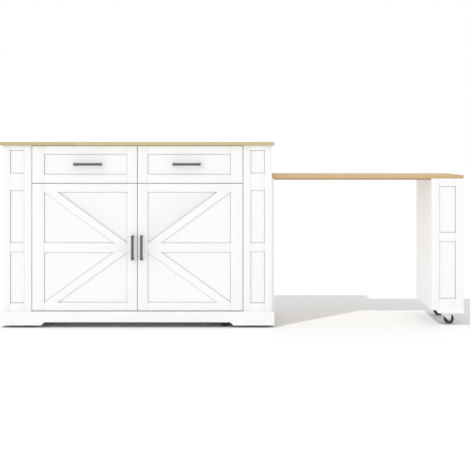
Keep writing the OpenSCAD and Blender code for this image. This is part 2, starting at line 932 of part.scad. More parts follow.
// The three members of a slide on the inner face of the left bay partition,
// which nest in each other: fixed to the cabinet, free, fixed to the drawer
module slide_member(part) {
    translate([0, slide_y0, slide_mid_z]) {
        if (part == "outer") channel(slide_h, flange_w, slide_l);
        if (part == "mid") translate([mid_x, 0, 0])
            channel(mid_h, flange_w - sheet_t, slide_l);
        if (part == "inner") translate([slide_w, 0, 0]) mirrored()
            channel(inner_h, inner_w, slide_l);
    }
}

// The pair of members on both sides of the left drawer
module slide_pair(part) {
    translate([-partition_x, 0, 0]) slide_member(part);
    translate([-board_t / 2, 0, 0]) mirrored() slide_member(part);
}

module slide_outer_members() {
    color(steel) in_frame() {
        slide_pair("outer");
        mirrored() slide_pair("outer");
    }
}

module drawer_left_front() {
    color(paint) in_frame() drawer_front();
}

module drawer_left_box() {
    color(oak) in_frame() drawer_box();
}

module drawer_left_pull() {
    color(gunmetal) in_frame() drawer_pull();
}

module drawer_left_inner_slides() {
    color(steel) in_frame() slide_pair("inner");
}

module drawer_left_mid_slides() {
    color(steel) in_frame() slide_pair("mid");
}

module drawer_right_front() {
    color(paint) in_frame() mirrored() drawer_front();
}

module drawer_right_box() {
    color(oak) in_frame() mirrored() drawer_box();
}

module drawer_right_pull() {
    color(gunmetal) in_frame() mirrored() drawer_pull();
}

module drawer_right_inner_slides() {
    color(steel) in_frame() mirrored() slide_pair("inner");
}

module drawer_right_mid_slides() {
    color(steel) in_frame() mirrored() slide_pair("mid");
}

// ---------------------------------------------------------- table and leg

module table_top() {
    color(oak) in_frame()
        eased_board([table_x0, table_y0, table_z0],
            [table_x1, table_y1, table_z], edge_r);
}

module table_runners() {
    color(oak * 0.7) in_frame() for (y = runner_ys)
        board([table_x0, y, runner_z0], [leg_x0, y + runner_w, table_z0]);
}

// Puts its children at the leg's front face, and again at its rear face
module leg_faces() {
    translate([leg_x0, table_y0, leg_z0]) children();
    translate([leg_x0, table_y1, leg_z0]) mirror([0, 1, 0]) children();
}

module leg_frames() {
    color(paint) in_frame() leg_faces()
        stile_frame(leg_w, leg_h, face_t, leg_stile, leg_stile, leg_rails);
}

module leg_panels() {
    color(paint) in_frame() leg_faces()
        frame_panels(leg_w, leg_stile, leg_stile, leg_rails);
}

module leg_sides() {
    color(paint) in_frame() for (x = [leg_x0, table_x1 - board_t])
        board([x, table_y0 + face_t, leg_z0], [x + board_t, table_y1 - face_t, table_z0]);
}

// Bevelled strip all round, and below it a skirt and a floor for the casters,
// which both stop short of the leg's inner side
module leg_base() {
    skirt_x0 = leg_x0 + leg_notch;
    out_a = [leg_x0 - leg_proud, table_y0 - leg_proud, leg_z0];
    out_b = [table_x1 + leg_proud, table_y1 + leg_proud, leg_z0 + leg_strip_h];
    color(paint) in_frame() {
        difference() {
            bevelled_block(out_a, out_b, leg_proud - leg_lip, leg_bevel_h);
            board([leg_x0, table_y0, leg_z0 - past],
                [table_x1, table_y1, leg_z0 + leg_strip_h + past]);
        }
        difference() {
            board([skirt_x0, out_a.y, skirt_z0], [out_b.x, out_b.y, leg_z0]);
            board([skirt_x0 - past, table_y0 + face_t, skirt_z0 - past],
                [table_x1 - board_t, table_y1 - face_t, caster_h]);
        }
    }
}

// ---------------------------------------------------------------- casters

// Plate, ball race and king pin, which hold the fork
module caster_plate() {
    translate([-plate_l / 2, -plate_w / 2, caster_h - plate_t])
        cube([plate_l, plate_w, plate_t]);
    translate([0, 0, race_z0]) cylinder(h = race_h, d = race_d);
    translate([0, 0, king_z0]) {
        cylinder(h = race_z0 - king_z0, d = king_d);
        cylinder(h = king_head_t, d = king_head_d);
    }
}

// Cheek of a fork, seen from its side: wide at the crown, narrow at the axle
module cheek_outline() {
    axle_z = wheel_d / 2;
    crown_r = race_d / 2;
    polygon([[-crown_r, crown_z0 + crown_t], [-crown_r, crown_z0 - brow_h],
        [trail - cheek_r, axle_z], [trail + cheek_r, axle_z],
        [crown_r + brow_l, crown_z0 - 2 * brow_h], [crown_r, crown_z0 + crown_t]]);
    translate([trail, axle_z]) circle(cheek_r);
}

// Crown with two cheeks, and the axle with a nut at each end
module caster_fork() {
    outer_y = cheek_y + cheek_t;
    translate([0, 0, crown_z0]) difference() {
        union() {
            cylinder(h = crown_t, d = race_d);
            translate([-race_d / 2, -cheek_y, 0]) cube([race_d, 2 * cheek_y, crown_t]);
        }
        translate([0, 0, -past])
            cylinder(h = crown_t + 2 * past, d = king_d + 2 * run_fit);
    }
    for (y = [outer_y, -cheek_y])
        translate([0, y, 0]) rotate([90, 0, 0]) linear_extrude(cheek_t) cheek_outline();
    translate([trail, 0, wheel_d / 2]) rotate([90, 0, 0]) {
        cylinder(h = 2 * outer_y, d = axle_d, center = true);
        for (z = [-outer_y - nut_t, outer_y])
            translate([0, 0, z]) cylinder(h = nut_t, d = nut_d, $fn = 6);
    }
}

// Tyre with a crowned tread on a hub, bored for the axle
module caster_wheel() {
    r = wheel_d / 2;
    half = wheel_w / 2;
    bore = axle_d / 2 + run_fit;
    rim = r - tyre_t;
    side = [[bore, half + hub_out], [bore + hub_t, half + hub_out],
        [bore + hub_t + hub_out, half - web_in], [rim, half - web_in],
        [rim + web_in, half], [r - tyre_edge, half],
        [r - tyre_edge / 4, half - tyre_edge], [r, half - 2.5 * tyre_edge]];
    translate([trail, 0, r]) rotate([90, 0, 0]) rotate_extrude($fn = 96)
        polygon(concat(side,
            [for (i = [len(side) - 1 : -1 : 0]) [side[i].x, -side[i].y]]));
}

module cabinet_caster(x, row) {
    in_frame() translate([x, caster_ys[row], 0]) children();
}

module leg_caster(row) {
    in_frame() translate([leg_caster_x, leg_caster_ys[row], 0]) children();
}

module caster_plates() {
    color(steel) for (x = [caster_left_x, caster_right_x], row = [0, 1])
        cabinet_caster(x, row) caster_plate();
}

module leg_caster_plates() {
    color(steel) for (row = [0, 1]) leg_caster(row) caster_plate();
}

module fork_front_left() {
    color(steel) cabinet_caster(caster_left_x, 0) caster_fork();
}

module wheel_front_left() {
    color(rubber) cabinet_caster(caster_left_x, 0) caster_wheel();
}

module fork_front_right() {
    color(steel) cabinet_caster(caster_right_x, 0) caster_fork();
}

module wheel_front_right() {
    color(rubber) cabinet_caster(caster_right_x, 0) caster_wheel();
}

module fork_rear_left() {
    color(steel) cabinet_caster(caster_left_x, 1) caster_fork();
}

module wheel_rear_left() {
    color(rubber) cabinet_caster(caster_left_x, 1) caster_wheel();
}

module fork_rear_right() {
    color(steel) cabinet_caster(caster_right_x, 1) caster_fork();
}

module wheel_rear_right() {
    color(rubber) cabinet_caster(caster_right_x, 1) caster_wheel();
}

module fork_leg_front() {
    color(steel) leg_caster(0) caster_fork();
}

module wheel_leg_front() {
    color(rubber) leg_caster(0) caster_wheel();
}

module fork_leg_rear() {
    color(steel) leg_caster(1) caster_fork();
}

module wheel_leg_rear() {
    color(rubber) leg_caster(1) caster_wheel();
}

worktop();
side_panel_left();
side_panel_right();
bay_partitions();
centre_partitions();
post_frame_left();
post_frame_right();
post_panels();
back_panel();
floor_panel();
table_deck();
drawer_deck();
cross_rails();
shelves();
shelf_pins();
plinth_front();
plinth_returns();
bearing_board();
hinge_arms();
slide_outer_members();
caster_plates();
door_left_frame();
door_left_panel();
door_left_braces();
door_left_pull();
door_left_cups();
door_right_frame();
door_right_panel();
door_right_braces();
door_right_pull();
door_right_cups();
drawer_left_front();
drawer_left_box();
drawer_left_pull();
drawer_left_inner_slides();
drawer_left_mid_slides();
drawer_right_front();
drawer_right_box();
drawer_right_pull();
drawer_right_inner_slides();
drawer_right_mid_slides();
table_top();
table_runners();
leg_frames();
leg_panels();
leg_sides();
leg_base();
leg_caster_plates();
fork_front_left();
wheel_front_left();
fork_front_right();
wheel_front_right();
fork_rear_left();
wheel_rear_left();
fork_rear_right();
wheel_rear_right();
fork_leg_front();
wheel_leg_front();
fork_leg_rear();
wheel_leg_rear();
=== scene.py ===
import json
import math
import random

import bpy
from mathutils import Matrix, Vector


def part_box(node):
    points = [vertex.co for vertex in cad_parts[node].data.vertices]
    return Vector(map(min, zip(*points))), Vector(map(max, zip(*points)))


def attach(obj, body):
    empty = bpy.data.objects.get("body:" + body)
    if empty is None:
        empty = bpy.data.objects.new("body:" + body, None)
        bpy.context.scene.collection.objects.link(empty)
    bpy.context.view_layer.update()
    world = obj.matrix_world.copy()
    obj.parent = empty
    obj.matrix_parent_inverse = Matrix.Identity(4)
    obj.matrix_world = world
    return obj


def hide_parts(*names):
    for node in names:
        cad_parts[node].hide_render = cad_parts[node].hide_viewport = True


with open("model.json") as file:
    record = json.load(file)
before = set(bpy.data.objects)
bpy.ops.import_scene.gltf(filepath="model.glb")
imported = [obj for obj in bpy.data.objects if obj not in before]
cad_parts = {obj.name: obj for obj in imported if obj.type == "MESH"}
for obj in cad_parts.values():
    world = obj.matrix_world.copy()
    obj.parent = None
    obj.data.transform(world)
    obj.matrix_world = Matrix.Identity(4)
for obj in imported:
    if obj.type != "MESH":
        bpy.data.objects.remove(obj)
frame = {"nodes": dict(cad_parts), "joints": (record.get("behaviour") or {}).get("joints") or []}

NODES = frame["nodes"]
JOINTS = {joint["name"]: joint for joint in frame["joints"]}
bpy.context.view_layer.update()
random.seed(7)

# ------------ sizes
# Millimetres from the cabinet's centre (X), its mid depth (Y) and the floor (Z)

worktop_low, worktop_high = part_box("worktop")
CENTRE = Vector(((worktop_low.x + worktop_high.x) / 2, (worktop_low.y + worktop_high.y) / 2, 0))

FACE_T = 18          # doors and drawer fronts
RECESS = 6           # panels behind the face of their frames
BRACE_W = 38.5       # diagonal braces
PANEL_T = 6          # recessed panels
REACH = 7.9          # how far a panel reaches into the groove of its frame
REVEAL_W = 1.7       # groove round a panel's field and along its brace
REVEAL_D = 3.2       # its depth

# Widths of a frame's left and right stile, and heights of its rails from the lowest up.
# Doors and drawer fronts have their wide stile at the outside of the cabinet.
DOOR_FRAME = (59.5, 49.5, [(83, 123), (369.5, 415.5), (667, 709)])
DRAWER_FRAME = (59.5, 49.5, [(712, 754), (854, 895)])
POST_FRAME = (36, 36, [(54, 120), (373.5, 415.5), (675.2, 759.2), (873, 897)])
LEG_FRAME = (39.5, 39.5, [(81, 137), (421, 465), (694, 733)])

SIDES = (("left", -1), ("right", 1))
HINGE_Z = (173, 619)
CUP_IN = 22.5        # centre of a hinge cup from the door's edge
DOOR_EDGE = -519     # outer edge of the left door
DOOR_BACK = -205     # back of the doors
DOOR_FACE = DOOR_BACK - FACE_T
EASE = 0.7           # softened edge of a painted board
FRAME_EASE = 1.0     # softened edge of stiles and rails
TOP_EASE = 1.6       # softened edge of the worktop and the table
SHARP = 30           # degrees at an edge that is softened
PROUD = 5            # how far a cutter stands clear of what it cuts


def span(node):
    """Lowest and highest corner of a CAD node, in millimetres from the cabinet."""
    low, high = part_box(node)
    return (low - CENTRE) * 1000, (high - CENTRE) * 1000


def place(x, y, z):
    """A place in the frame, in metres."""
    return CENTRE + Vector((x, y, z)) / 1000


# ------------ the maker's tools

def only(piece):
    """Makes a piece the one that the next operators work on."""
    bpy.ops.object.select_all(action="DESELECT")
    piece.select_set(True)
    bpy.context.view_layer.objects.active = piece


def settle(piece):
    """Puts a piece's place, turn and size into its mesh."""
    only(piece)
    bpy.ops.object.transform_apply(location=True, rotation=True, scale=True)


def block(name, low, high):
    """A square-edged board between two corners."""
    a, b = place(*low), place(*high)
    bpy.ops.object.select_all(action="DESELECT")
    bpy.ops.mesh.primitive_cube_add(size=1, location=(a + b) / 2)
    piece = bpy.context.object
    piece.name = name
    piece.scale = b - a
    settle(piece)
    return piece


def local_block(name, low, high):
    """A board near the frame's origin, for a piece that is placed later."""
    shift = -CENTRE * 1000
    return block(name, Vector(low) + shift, Vector(high) + shift)


def work(piece, kind, **settings):
    """Adds a modifier and applies it."""
    only(piece)
    modifier = piece.modifiers.new(kind.lower(), kind)
    for setting, value in settings.items():
        setattr(modifier, setting, value)
    bpy.ops.object.modifier_apply(modifier=modifier.name)
    return piece


def smooth(piece, angle=35):
    """Shades a piece as one surface, but for edges sharper than an angle."""
    only(piece)
    bpy.ops.object.shade_smooth_by_angle(angle=math.radians(angle))
    return piece


def ease(piece, width=EASE, segments=2):
    """Softens every sharp edge of a piece."""
    work(piece, "BEVEL", width=width / 1000, segments=segments, limit_method="ANGLE",
         angle_limit=math.radians(SHARP), use_clamp_overlap=True)
    return smooth(piece)


def join(name, parts):
    """Makes one object of several parts."""
    bpy.ops.object.select_all(action="DESELECT")
    for part in parts:
        part.select_set(True)
    bpy.context.view_layer.objects.active = parts[0]
    if len(parts) > 1:
        bpy.ops.object.join()
    parts[0].name = name
    return parts[0]


def copy_of(piece, name, shift=(0, 0, 0), turn=None):
    """A copy with its own mesh, turned about the frame's origin and then moved by metres."""
    made = piece.copy()
    made.data = piece.data.copy()
    made.name = name
    bpy.context.scene.collection.objects.link(made)
    if turn is not None:
        made.data.transform(turn)
    made.data.transform(Matrix.Translation(Vector(shift)))
    return made


def mirror_of(piece, name, across=(1, 0, 0), middle=CENTRE):
    """A copy on the other side of a plane, which is the cabinet's middle plane if
    no other is given."""
    made = copy_of(piece, name)
    made.data.transform(Matrix.Translation(middle) @ Matrix.Scale(-1, 4, across)
                        @ Matrix.Translation(-middle))
    made.data.flip_normals()
    return made


def set_down(piece, shift, turn=None):
    """Turns a piece's mesh about the frame's origin and then moves it by metres."""
    if turn is not None:
        piece.data.transform(turn)
    piece.data.transform(Matrix.Translation(Vector(shift)))
    return piece


def facing(direction):
    """Turns a piece's Z towards a direction."""
    return Vector(direction).to_track_quat("Z", "Y").to_matrix().to_4x4()


def turned(name, rings, bored=False, sides=32):
    """A piece turned about Z at the frame's origin. rings holds a radius and a
    height for each step, in millimetres. A bored piece closes on its first ring."""
    bpy.ops.object.select_all(action="DESELECT")
    radius, height = rings[0]
    bpy.ops.mesh.primitive_circle_add(vertices=sides, radius=radius / 1000,
                                      location=(0, 0, height / 1000))
    piece = bpy.context.object
    piece.name = name
    settle(piece)
    bpy.ops.object.mode_set(mode="EDIT")
    bpy.ops.mesh.select_all(action="SELECT")
    for next_radius, next_height in rings[1:]:
        rise = (next_height - height) / 1000
        bpy.ops.mesh.extrude_region_move(TRANSFORM_OT_translate={"value": (0, 0, rise)})
        grow = next_radius / radius
        bpy.ops.transform.resize(value=(grow, grow, 1))
        radius, height = next_radius, next_height
    bpy.ops.mesh.select_all(action="DESELECT")
    bpy.ops.mesh.select_mode(type="EDGE")
    bpy.ops.mesh.select_non_manifold()
    if bored:
        bpy.ops.mesh.bridge_edge_loops()
    else:
        bpy.ops.mesh.fill_holes(sides=0)
    bpy.ops.mesh.select_all(action="SELECT")
    bpy.ops.mesh.normals_make_consistent(inside=False)
    bpy.ops.mesh.select_mode(type="VERT")
    bpy.ops.object.mode_set(mode="OBJECT")
    return smooth(piece)


def cut(piece, *cutters):
    """Takes the cutters' shapes out of a piece."""
    for cutter in cutters:
        work(piece, "BOOLEAN", operation="DIFFERENCE", object=cutter, solver="EXACT")
        bpy.data.objects.remove(cutter)
    return piece


def slice_off(piece, through, outward):
    """Cuts a piece by a plane and closes it. What lies on the outward side goes."""
    only(piece)
    bpy.ops.object.mode_set(mode="EDIT")
    bpy.ops.mesh.select_all(action="SELECT")
    bpy.ops.mesh.bisect(plane_co=through, plane_no=outward, use_fill=True, clear_outer=True)
    bpy.ops.object.mode_set(mode="OBJECT")
    return piece


BACKWARD = facing((0, 1, 0))
QUARTER_X = Matrix.Rotation(math.pi / 2, 4, "X")
QUARTER_Y = Matrix.Rotation(math.pi / 2, 4, "Y")


# ------------ shader groups

def plug_in(tree, made, plugs):
    """Gives a node's inputs other nodes' outputs or plain values."""
    for label, source in plugs.items():
        if isinstance(source, bpy.types.NodeSocket):
            tree.links.new(source, made.inputs[label])
        else:
            made.inputs[label].default_value = source
    return made


def node(tree, kind, plugs=None, **settings):
    """A shader node with its settings and what is plugged into it."""
    made = tree.nodes.new("ShaderNode" + kind)
    for setting, value in settings.items():
        setattr(made, setting, value)
    return plug_in(tree, made, plugs or {})


def maths(tree, operation, a, b=0.0):
    return node(tree, "Math", {0: a, 1: b}, operation=operation).outputs[0]


def stretch(tree, vector, scale):
    """A vector times a scale for each axis."""
    return node(tree, "VectorMath", {0: vector, 1: scale}, operation="MULTIPLY").outputs[0]


def noise(tree, vector, scale, detail=4.0, roughness=0.5, distortion=0.0):
    """A value from 0 to 1 that wanders through space."""
    plugs = {"Vector": vector, "Scale": scale, "Detail": detail, "Roughness": roughness,
             "Distortion": distortion}
    return node(tree, "TexNoise", plugs).outputs["Fac"]


def between(tree, factor, first, second):
    """A value part of the way from the first to the second."""
    return node(tree, "Mix", {0: factor, 2: first, 3: second}, data_type="FLOAT").outputs[0]


def ramp(tree, value, low, high, to_low=0.0, to_high=1.0):
    """Maps a value from one range to another, and keeps it there."""
    return node(tree, "MapRange", {"Value": value, "From Min": low, "From Max": high,
                                   "To Min": to_low, "To Max": to_high}).outputs[0]


def group(name, inputs, outputs):
    """A node group, and the sockets that its nodes take from and give to."""
    tree = bpy.data.node_groups.new(name, "ShaderNodeTree")
    for label, kind, value in inputs:
        socket = tree.interface.new_socket(label, in_out="INPUT", socket_type="NodeSocket" + kind)
        if value is not None:
            socket.default_value = value
    for label, kind in outputs:
        tree.interface.new_socket(label, in_out="OUTPUT", socket_type="NodeSocket" + kind)
    return tree, tree.nodes.new("NodeGroupInput").outputs, tree.nodes.new("NodeGroupOutput").inputs


def give(tree, made, **results):
    """Links the group's results to its output."""
    for label, source in results.items():
        tree.links.new(source, made[label])


def wood_grain_group():
    """Growth lines, pores and broad colour drift of a board whose grain runs along X."""
    tree, got, made = group("wood_grain", [("Vector", "Vector", None), ("Spread", "Float", 26.0)],
                            [("Lines", "Float"), ("Pores", "Float"), ("Drift", "Float")])
    swell = noise(tree, stretch(tree, got["Vector"], (1.3, 17.0, 17.0)), 1.0, 3.0, 0.5, 0.4)
    wave = maths(tree, "SINE", maths(tree, "MULTIPLY", swell, got["Spread"]))
    lines = ramp(tree, wave, -0.6, 1.0)
    fibre = noise(tree, stretch(tree, got["Vector"], (14.0, 900.0, 900.0)), 1.0, 3.0)
    specks = noise(tree, stretch(tree, got["Vector"], (26.0, 620.0, 620.0)), 1.0, 2.0)
    drift = noise(tree, stretch(tree, got["Vector"], (1.6, 9.0, 9.0)), 1.0, 2.0)
    give(tree, made, Lines=between(tree, 0.45, lines, fibre),
         Pores=ramp(tree, specks, 0.60, 0.72), Drift=drift)
    return tree


def staves_group():
    """Glued staves along X: a tone for each, a shifted grain and the fine glue lines."""
    tree, got, made = group("staves", [
        ("Vector", "Vector", None), ("Width", "Float", 0.045), ("Length", "Float", 0.6)],
        [("Vector", "Vector"), ("Tone", "Float"), ("Glue", "Float")])
    xyz = node(tree, "SeparateXYZ", {0: got["Vector"]}).outputs
    across = maths(tree, "DIVIDE", xyz["Y"], got["Width"])
    row = maths(tree, "FLOOR", across)
    shift = node(tree, "TexWhiteNoise", {"W": row}, noise_dimensions="1D").outputs["Value"]
    along = maths(tree, "ADD", maths(tree, "DIVIDE", xyz["X"], got["Length"]),
                  maths(tree, "MULTIPLY", shift, 7.0))
    column = maths(tree, "FLOOR", along)
    cell = node(tree, "CombineXYZ", {0: row, 1: column}).outputs[0]
    random_cell = node(tree, "TexWhiteNoise", {"Vector": cell}, noise_dimensions="2D")
    offset = stretch(tree, random_cell.outputs["Color"], (9.0, 5.0, 3.0))
    moved = node(tree, "VectorMath", {0: got["Vector"], 1: offset}, operation="ADD").outputs[0]
    edge_y = maths(tree, "ABSOLUTE", maths(tree, "SUBTRACT", maths(tree, "FRACT", across), 0.5))
    edge_x = maths(tree, "ABSOLUTE", maths(tree, "SUBTRACT", maths(tree, "FRACT", along), 0.5))
    glue_y = ramp(tree, edge_y, 0.490, 0.498)
    glue_x = ramp(tree, edge_x, 0.4990, 0.4997)
    give(tree, made, Vector=moved, Tone=random_cell.outputs["Value"],
         Glue=maths(tree, "MAXIMUM", glue_y, glue_x))
    return tree


def paint_skin_group():
    """Satin paint on wood: faint grain along X that shows through, the roller's
    stipple, and painted shade that darkens the paint in a board's own grooves."""
    tree, got, made = group("paint_skin", [("Vector", "Vector", None)],
                            [("Height", "Float"), ("Tone", "Float"), ("Gloss", "Float"),
                             ("Dust", "Float")])
    grain = noise(tree, stretch(tree, got["Vector"], (9.0, 240.0, 240.0)), 1.0, 4.0, 0.55, 0.3)
    stipple = noise(tree, got["Vector"], 900.0, 2.0)
    cloud = noise(tree, got["Vector"], 3.5, 3.0)
    sheen = noise(tree, got["Vector"], 22.0, 4.0)
    # painted shade: ambient occlusion within the board itself, made into a mask that darkens the
    # paint in its grooves and V joints
    open_air = node(tree, "AmbientOcclusion", {"Distance": 0.007}, samples=8,
                    only_local=True).outputs["AO"]
    give(tree, made, Height=between(tree, 0.35, grain, stipple), Tone=cloud,
         Dust=ramp(tree, open_air, 0.06, 0.42, 0.88, 0.0), Gloss=ramp(tree, sheen, 0.3, 0.7))
    return tree


def brushed_group():
    """Fine scratches along X, as brushing or rolling leaves them."""
    tree, got, made = group("brushed", [("Vector", "Vector", None)],
                            [("Scratch", "Float"), ("Cloud", "Float")])
    scratch = noise(tree, stretch(tree, got["Vector"], (22.0, 3200.0, 3200.0)), 1.0, 3.0, 0.6)
    give(tree, made, Scratch=scratch, Cloud=noise(tree, got["Vector"], 30.0, 3.0))
    return tree


def mottle_group():
    """Fine pimples and soft patches of a coating or a moulding."""
    tree, got, made = group("mottle", [("Vector", "Vector", None), ("Size", "Float", 0.0012)],
                            [("Pimples", "Float"), ("Patches", "Float")])
    scale = maths(tree, "DIVIDE", 1.0, got["Size"])
    give(tree, made, Pimples=noise(tree, got["Vector"], scale, 2.0),
         Patches=noise(tree, got["Vector"], 45.0, 3.0))
    return tree


WOOD_GRAIN = wood_grain_group()
STAVES = staves_group()
PAINT_SKIN = paint_skin_group()
BRUSHED = brushed_group()
MOTTLE = mottle_group()


# ------------ materials

def use(tree, made_group, plugs):
    """The outputs of a node group that is put into a material."""
    placed = node(tree, "Group", node_tree=made_group)
    return plug_in(tree, placed, plugs).outputs


def material(name, along="X", shift=(0, 0, 0), **sockets):
    """A material, its node tree, its shader and the place on the piece, turned so
    that the pattern's X runs along the board."""
    made = bpy.data.materials.new(name)
    made.use_nodes = True
    tree = made.node_tree
    shader = tree.nodes["Principled BSDF"]
    for label, value in sockets.items():
        shader.inputs[label.replace("_", " ")].default_value = value
    spin = {"X": (0, 0, 0), "Y": (0, 0, -math.pi / 2), "Z": (0, math.pi / 2, 0)}[along]
    coordinates = node(tree, "TexCoord").outputs["Object"]
    mapping = node(tree, "Mapping", {"Vector": coordinates, "Rotation": spin, "Location": shift})
    return made, tree, shader, mapping.outputs[0]


def bump(tree, shader, height, strength, distance):
    """Gives a surface fine relief, whose depth is in metres."""
    bumped = node(tree, "Bump", {"Height": height, "Strength": strength, "Distance": distance})
    tree.links.new(bumped.outputs[0], shader.inputs["Normal"])


def blend_colours(tree, factor, first, second):
    return node(tree, "Mix", {0: factor, 6: first, 7: second}, data_type="RGBA").outputs[2]


def tint(red, green, blue):
    return (red, green, blue, 1.0)


def darker(colour, red, green, blue):
    """A colour with a factor for each channel."""
    return tint(colour[0] * red, colour[1] * green, colour[2] * blue)


def painted(along):
    """White satin paint on a board whose grain runs one way."""
    made, tree, shader, vector = material("white_paint_" + along, along, Coat_Weight=0.08,
                                          Coat_Roughness=0.25, Specular_IOR_Level=0.45)
    skin = use(tree, PAINT_SKIN, {"Vector": vector})
    white = blend_colours(tree, skin["Tone"], tint(0.905, 0.905, 0.903), tint(0.93, 0.93, 0.929))
    # painted shade: the white goes towards dark grey where the board's own grooves shut out light
    groove_shaded_white = blend_colours(tree, skin["Dust"], white, tint(0.14, 0.14, 0.135))
    tree.links.new(groove_shaded_white, shader.inputs["Base Color"])
    tree.links.new(ramp(tree, skin["Gloss"], 0, 1, 0.34, 0.44), shader.inputs["Roughness"])
    bump(tree, shader, skin["Height"], 0.16, 0.00025)
    return made


def timber(name, along, pale, deep, stave=None, depth=0.35):
    """Solid wood, in one board or glued from staves of a width and a length. The
    depth is that of its grain's colour."""
    made, tree, shader, vector = material(name, along, shift=(0.31, 0.017, 0.23),
                                          Specular_IOR_Level=0.35)
    if stave:
        staves = use(tree, STAVES, {"Vector": vector, "Width": stave[0], "Length": stave[1]})
        vector = staves["Vector"]
    grain = use(tree, WOOD_GRAIN, {"Vector": vector})
    base = blend_colours(tree, grain["Drift"], pale, deep)
    if stave:
        shade = ramp(tree, staves["Tone"], 0, 1, 0.0, 0.55)
        base = blend_colours(tree, shade, base, darker(deep, 0.80, 0.80, 0.80))
    lined = blend_colours(tree, maths(tree, "MULTIPLY", grain["Lines"], depth), base,
                          darker(deep, 0.80, 0.72, 0.58))
    wood = blend_colours(tree, maths(tree, "MULTIPLY", grain["Pores"], depth * 0.8), lined,
                         darker(deep, 0.5, 0.5, 0.5))
    if stave:
        wood = blend_colours(tree, maths(tree, "MULTIPLY", staves["Glue"], 0.45), wood,
                             darker(deep, 0.45, 0.45, 0.45))
    tree.links.new(wood, shader.inputs["Base Color"])
    tree.links.new(ramp(tree, grain["Lines"], 0, 1, 0.42, 0.56), shader.inputs["Roughness"])
    sunk = maths(tree, "SUBTRACT", maths(tree, "MULTIPLY", grain["Lines"], 0.5), grain["Pores"])
    bump(tree, shader, sunk, 0.25, 0.0002)
    return made


def metal(name, along, colour, dark, rough, metallic=1.0):
    """Metal with fine scratches that run one way."""
    made, tree, shader, vector = material(name, along, Metallic=metallic)
    lines = use(tree, BRUSHED, {"Vector": vector})
    tree.links.new(blend_colours(tree, lines["Cloud"], colour, dark), shader.inputs["Base Color"])
    tree.links.new(ramp(tree, lines["Scratch"], 0.3, 0.7, *rough), shader.inputs["Roughness"])
    bump(tree, shader, lines["Scratch"], 0.12, 0.00005)
    return made


def moulded(name, colour, dark, rough, size, **sockets):
    """A coating or a moulding with pimples of a size in metres and soft patches."""
    made, tree, shader, vector = material(name, "X", **sockets)
    skin = use(tree, MOTTLE, {"Vector": vector, "Size": size})
    tree.links.new(blend_colours(tree, skin["Patches"], colour, dark), shader.inputs["Base Color"])
    tree.links.new(ramp(tree, skin["Patches"], 0.3, 0.7, *rough), shader.inputs["Roughness"])
    bump(tree, shader, skin["Pimples"], 0.3, 0.0002)
    return made


PAINT = {way: painted(way) for way in "XYZ"}
OAK = {name: timber(finish, "X", pale, deep, stave=(0.043, 0.55)) for name, finish, pale, deep in (
    ("worktop", "worktop_oak", tint(0.69, 0.58, 0.33), tint(0.615, 0.49, 0.25)),
    ("table_top", "table_oak", tint(0.755, 0.555, 0.31), tint(0.675, 0.465, 0.235)))}
# Darker brown than the top's oak: partly the runners' own wood, partly painted shade of the recess
# under the table top
RUNNER = timber("runner_wood", "X", tint(0.54, 0.41, 0.215), tint(0.42, 0.30, 0.14))
BIRCH = {way: timber("birch_" + way, way, tint(0.80, 0.69, 0.50), tint(0.72, 0.59, 0.39), depth=0.2)
         for way in "XY"}
GUNMETAL = {way: metal("gunmetal_" + way, way, tint(0.155, 0.155, 0.158),
                       tint(0.125, 0.125, 0.128), (0.32, 0.46), 0.85) for way in "XZ"}
NICKEL = metal("nickel", "Y", tint(0.66, 0.65, 0.62), tint(0.60, 0.59, 0.57), (0.2, 0.32))
ZINC = metal("zinc", "Y", tint(0.58, 0.60, 0.62), tint(0.50, 0.52, 0.55), (0.28, 0.45))
POWDER = moulded("powder_coat", tint(0.86, 0.86, 0.86), tint(0.82, 0.82, 0.82),
                 (0.36, 0.46), 0.0009, Coat_Weight=0.1)
RUBBER = moulded("rubber", tint(0.022, 0.022, 0.023), tint(0.034, 0.034, 0.034),
                 (0.55, 0.7), 0.0008)
NYLON = moulded("nylon", tint(0.05, 0.05, 0.052), tint(0.07, 0.07, 0.072), (0.4, 0.5), 0.0011)
CLEAR = moulded("bumper_plastic", tint(0.80, 0.80, 0.78), tint(0.74, 0.74, 0.72),
                (0.15, 0.25), 0.002, Transmission_Weight=0.5, IOR=1.46)


def dress(piece, finish):
    """Gives a piece one material."""
    piece.data.materials.clear()
    piece.data.materials.append(finish)
    return piece


def mount(piece, body, slot, *nodes):
    """Gives a new piece its body and hides the nodes that it stands for. Its slot is not used."""
    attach(piece, body)
    if nodes:
        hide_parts(*nodes)
    return piece


def keep(name, finish, width=EASE):
    """Shows a CAD node with softened edges and a finish."""
    piece = NODES[name]
    weld = piece.modifiers.new("weld", "WELD")
    weld.merge_threshold = 0.00001
    soft = piece.modifiers.new("soft_edges", "BEVEL")
    soft.width = width / 1000
    soft.segments = 2
    soft.limit_method = "ANGLE"
    soft.angle_limit = math.radians(40)
    dress(piece, finish)


# ------------ frames of stiles and rails

def frame_boards(name, low, high, layout, bores=()):
    """Stiles and rails between two corners, each a board with softened edges.
    The fine V where two boards meet comes from their edges. The bores are cut
    from the left stile."""
    left, right, rails = layout
    uprights = [block(name + "_stile", (low.x, low.y, low.z), (low.x + left, high.y, high.z)),
                block(name + "_stile", (high.x - right, low.y, low.z), (high.x, high.y, high.z))]
    cut(uprights[0], *bores)
    across = [block(name + "_rail", (low.x + left, low.y, bottom), (high.x - right, high.y, top))
              for bottom, top in rails]
    for board in uprights:
        dress(ease(board, FRAME_EASE), PAINT["Z"])
    for board in across:
        dress(ease(board, FRAME_EASE), PAINT["X"])
    return join(name, uprights + across)


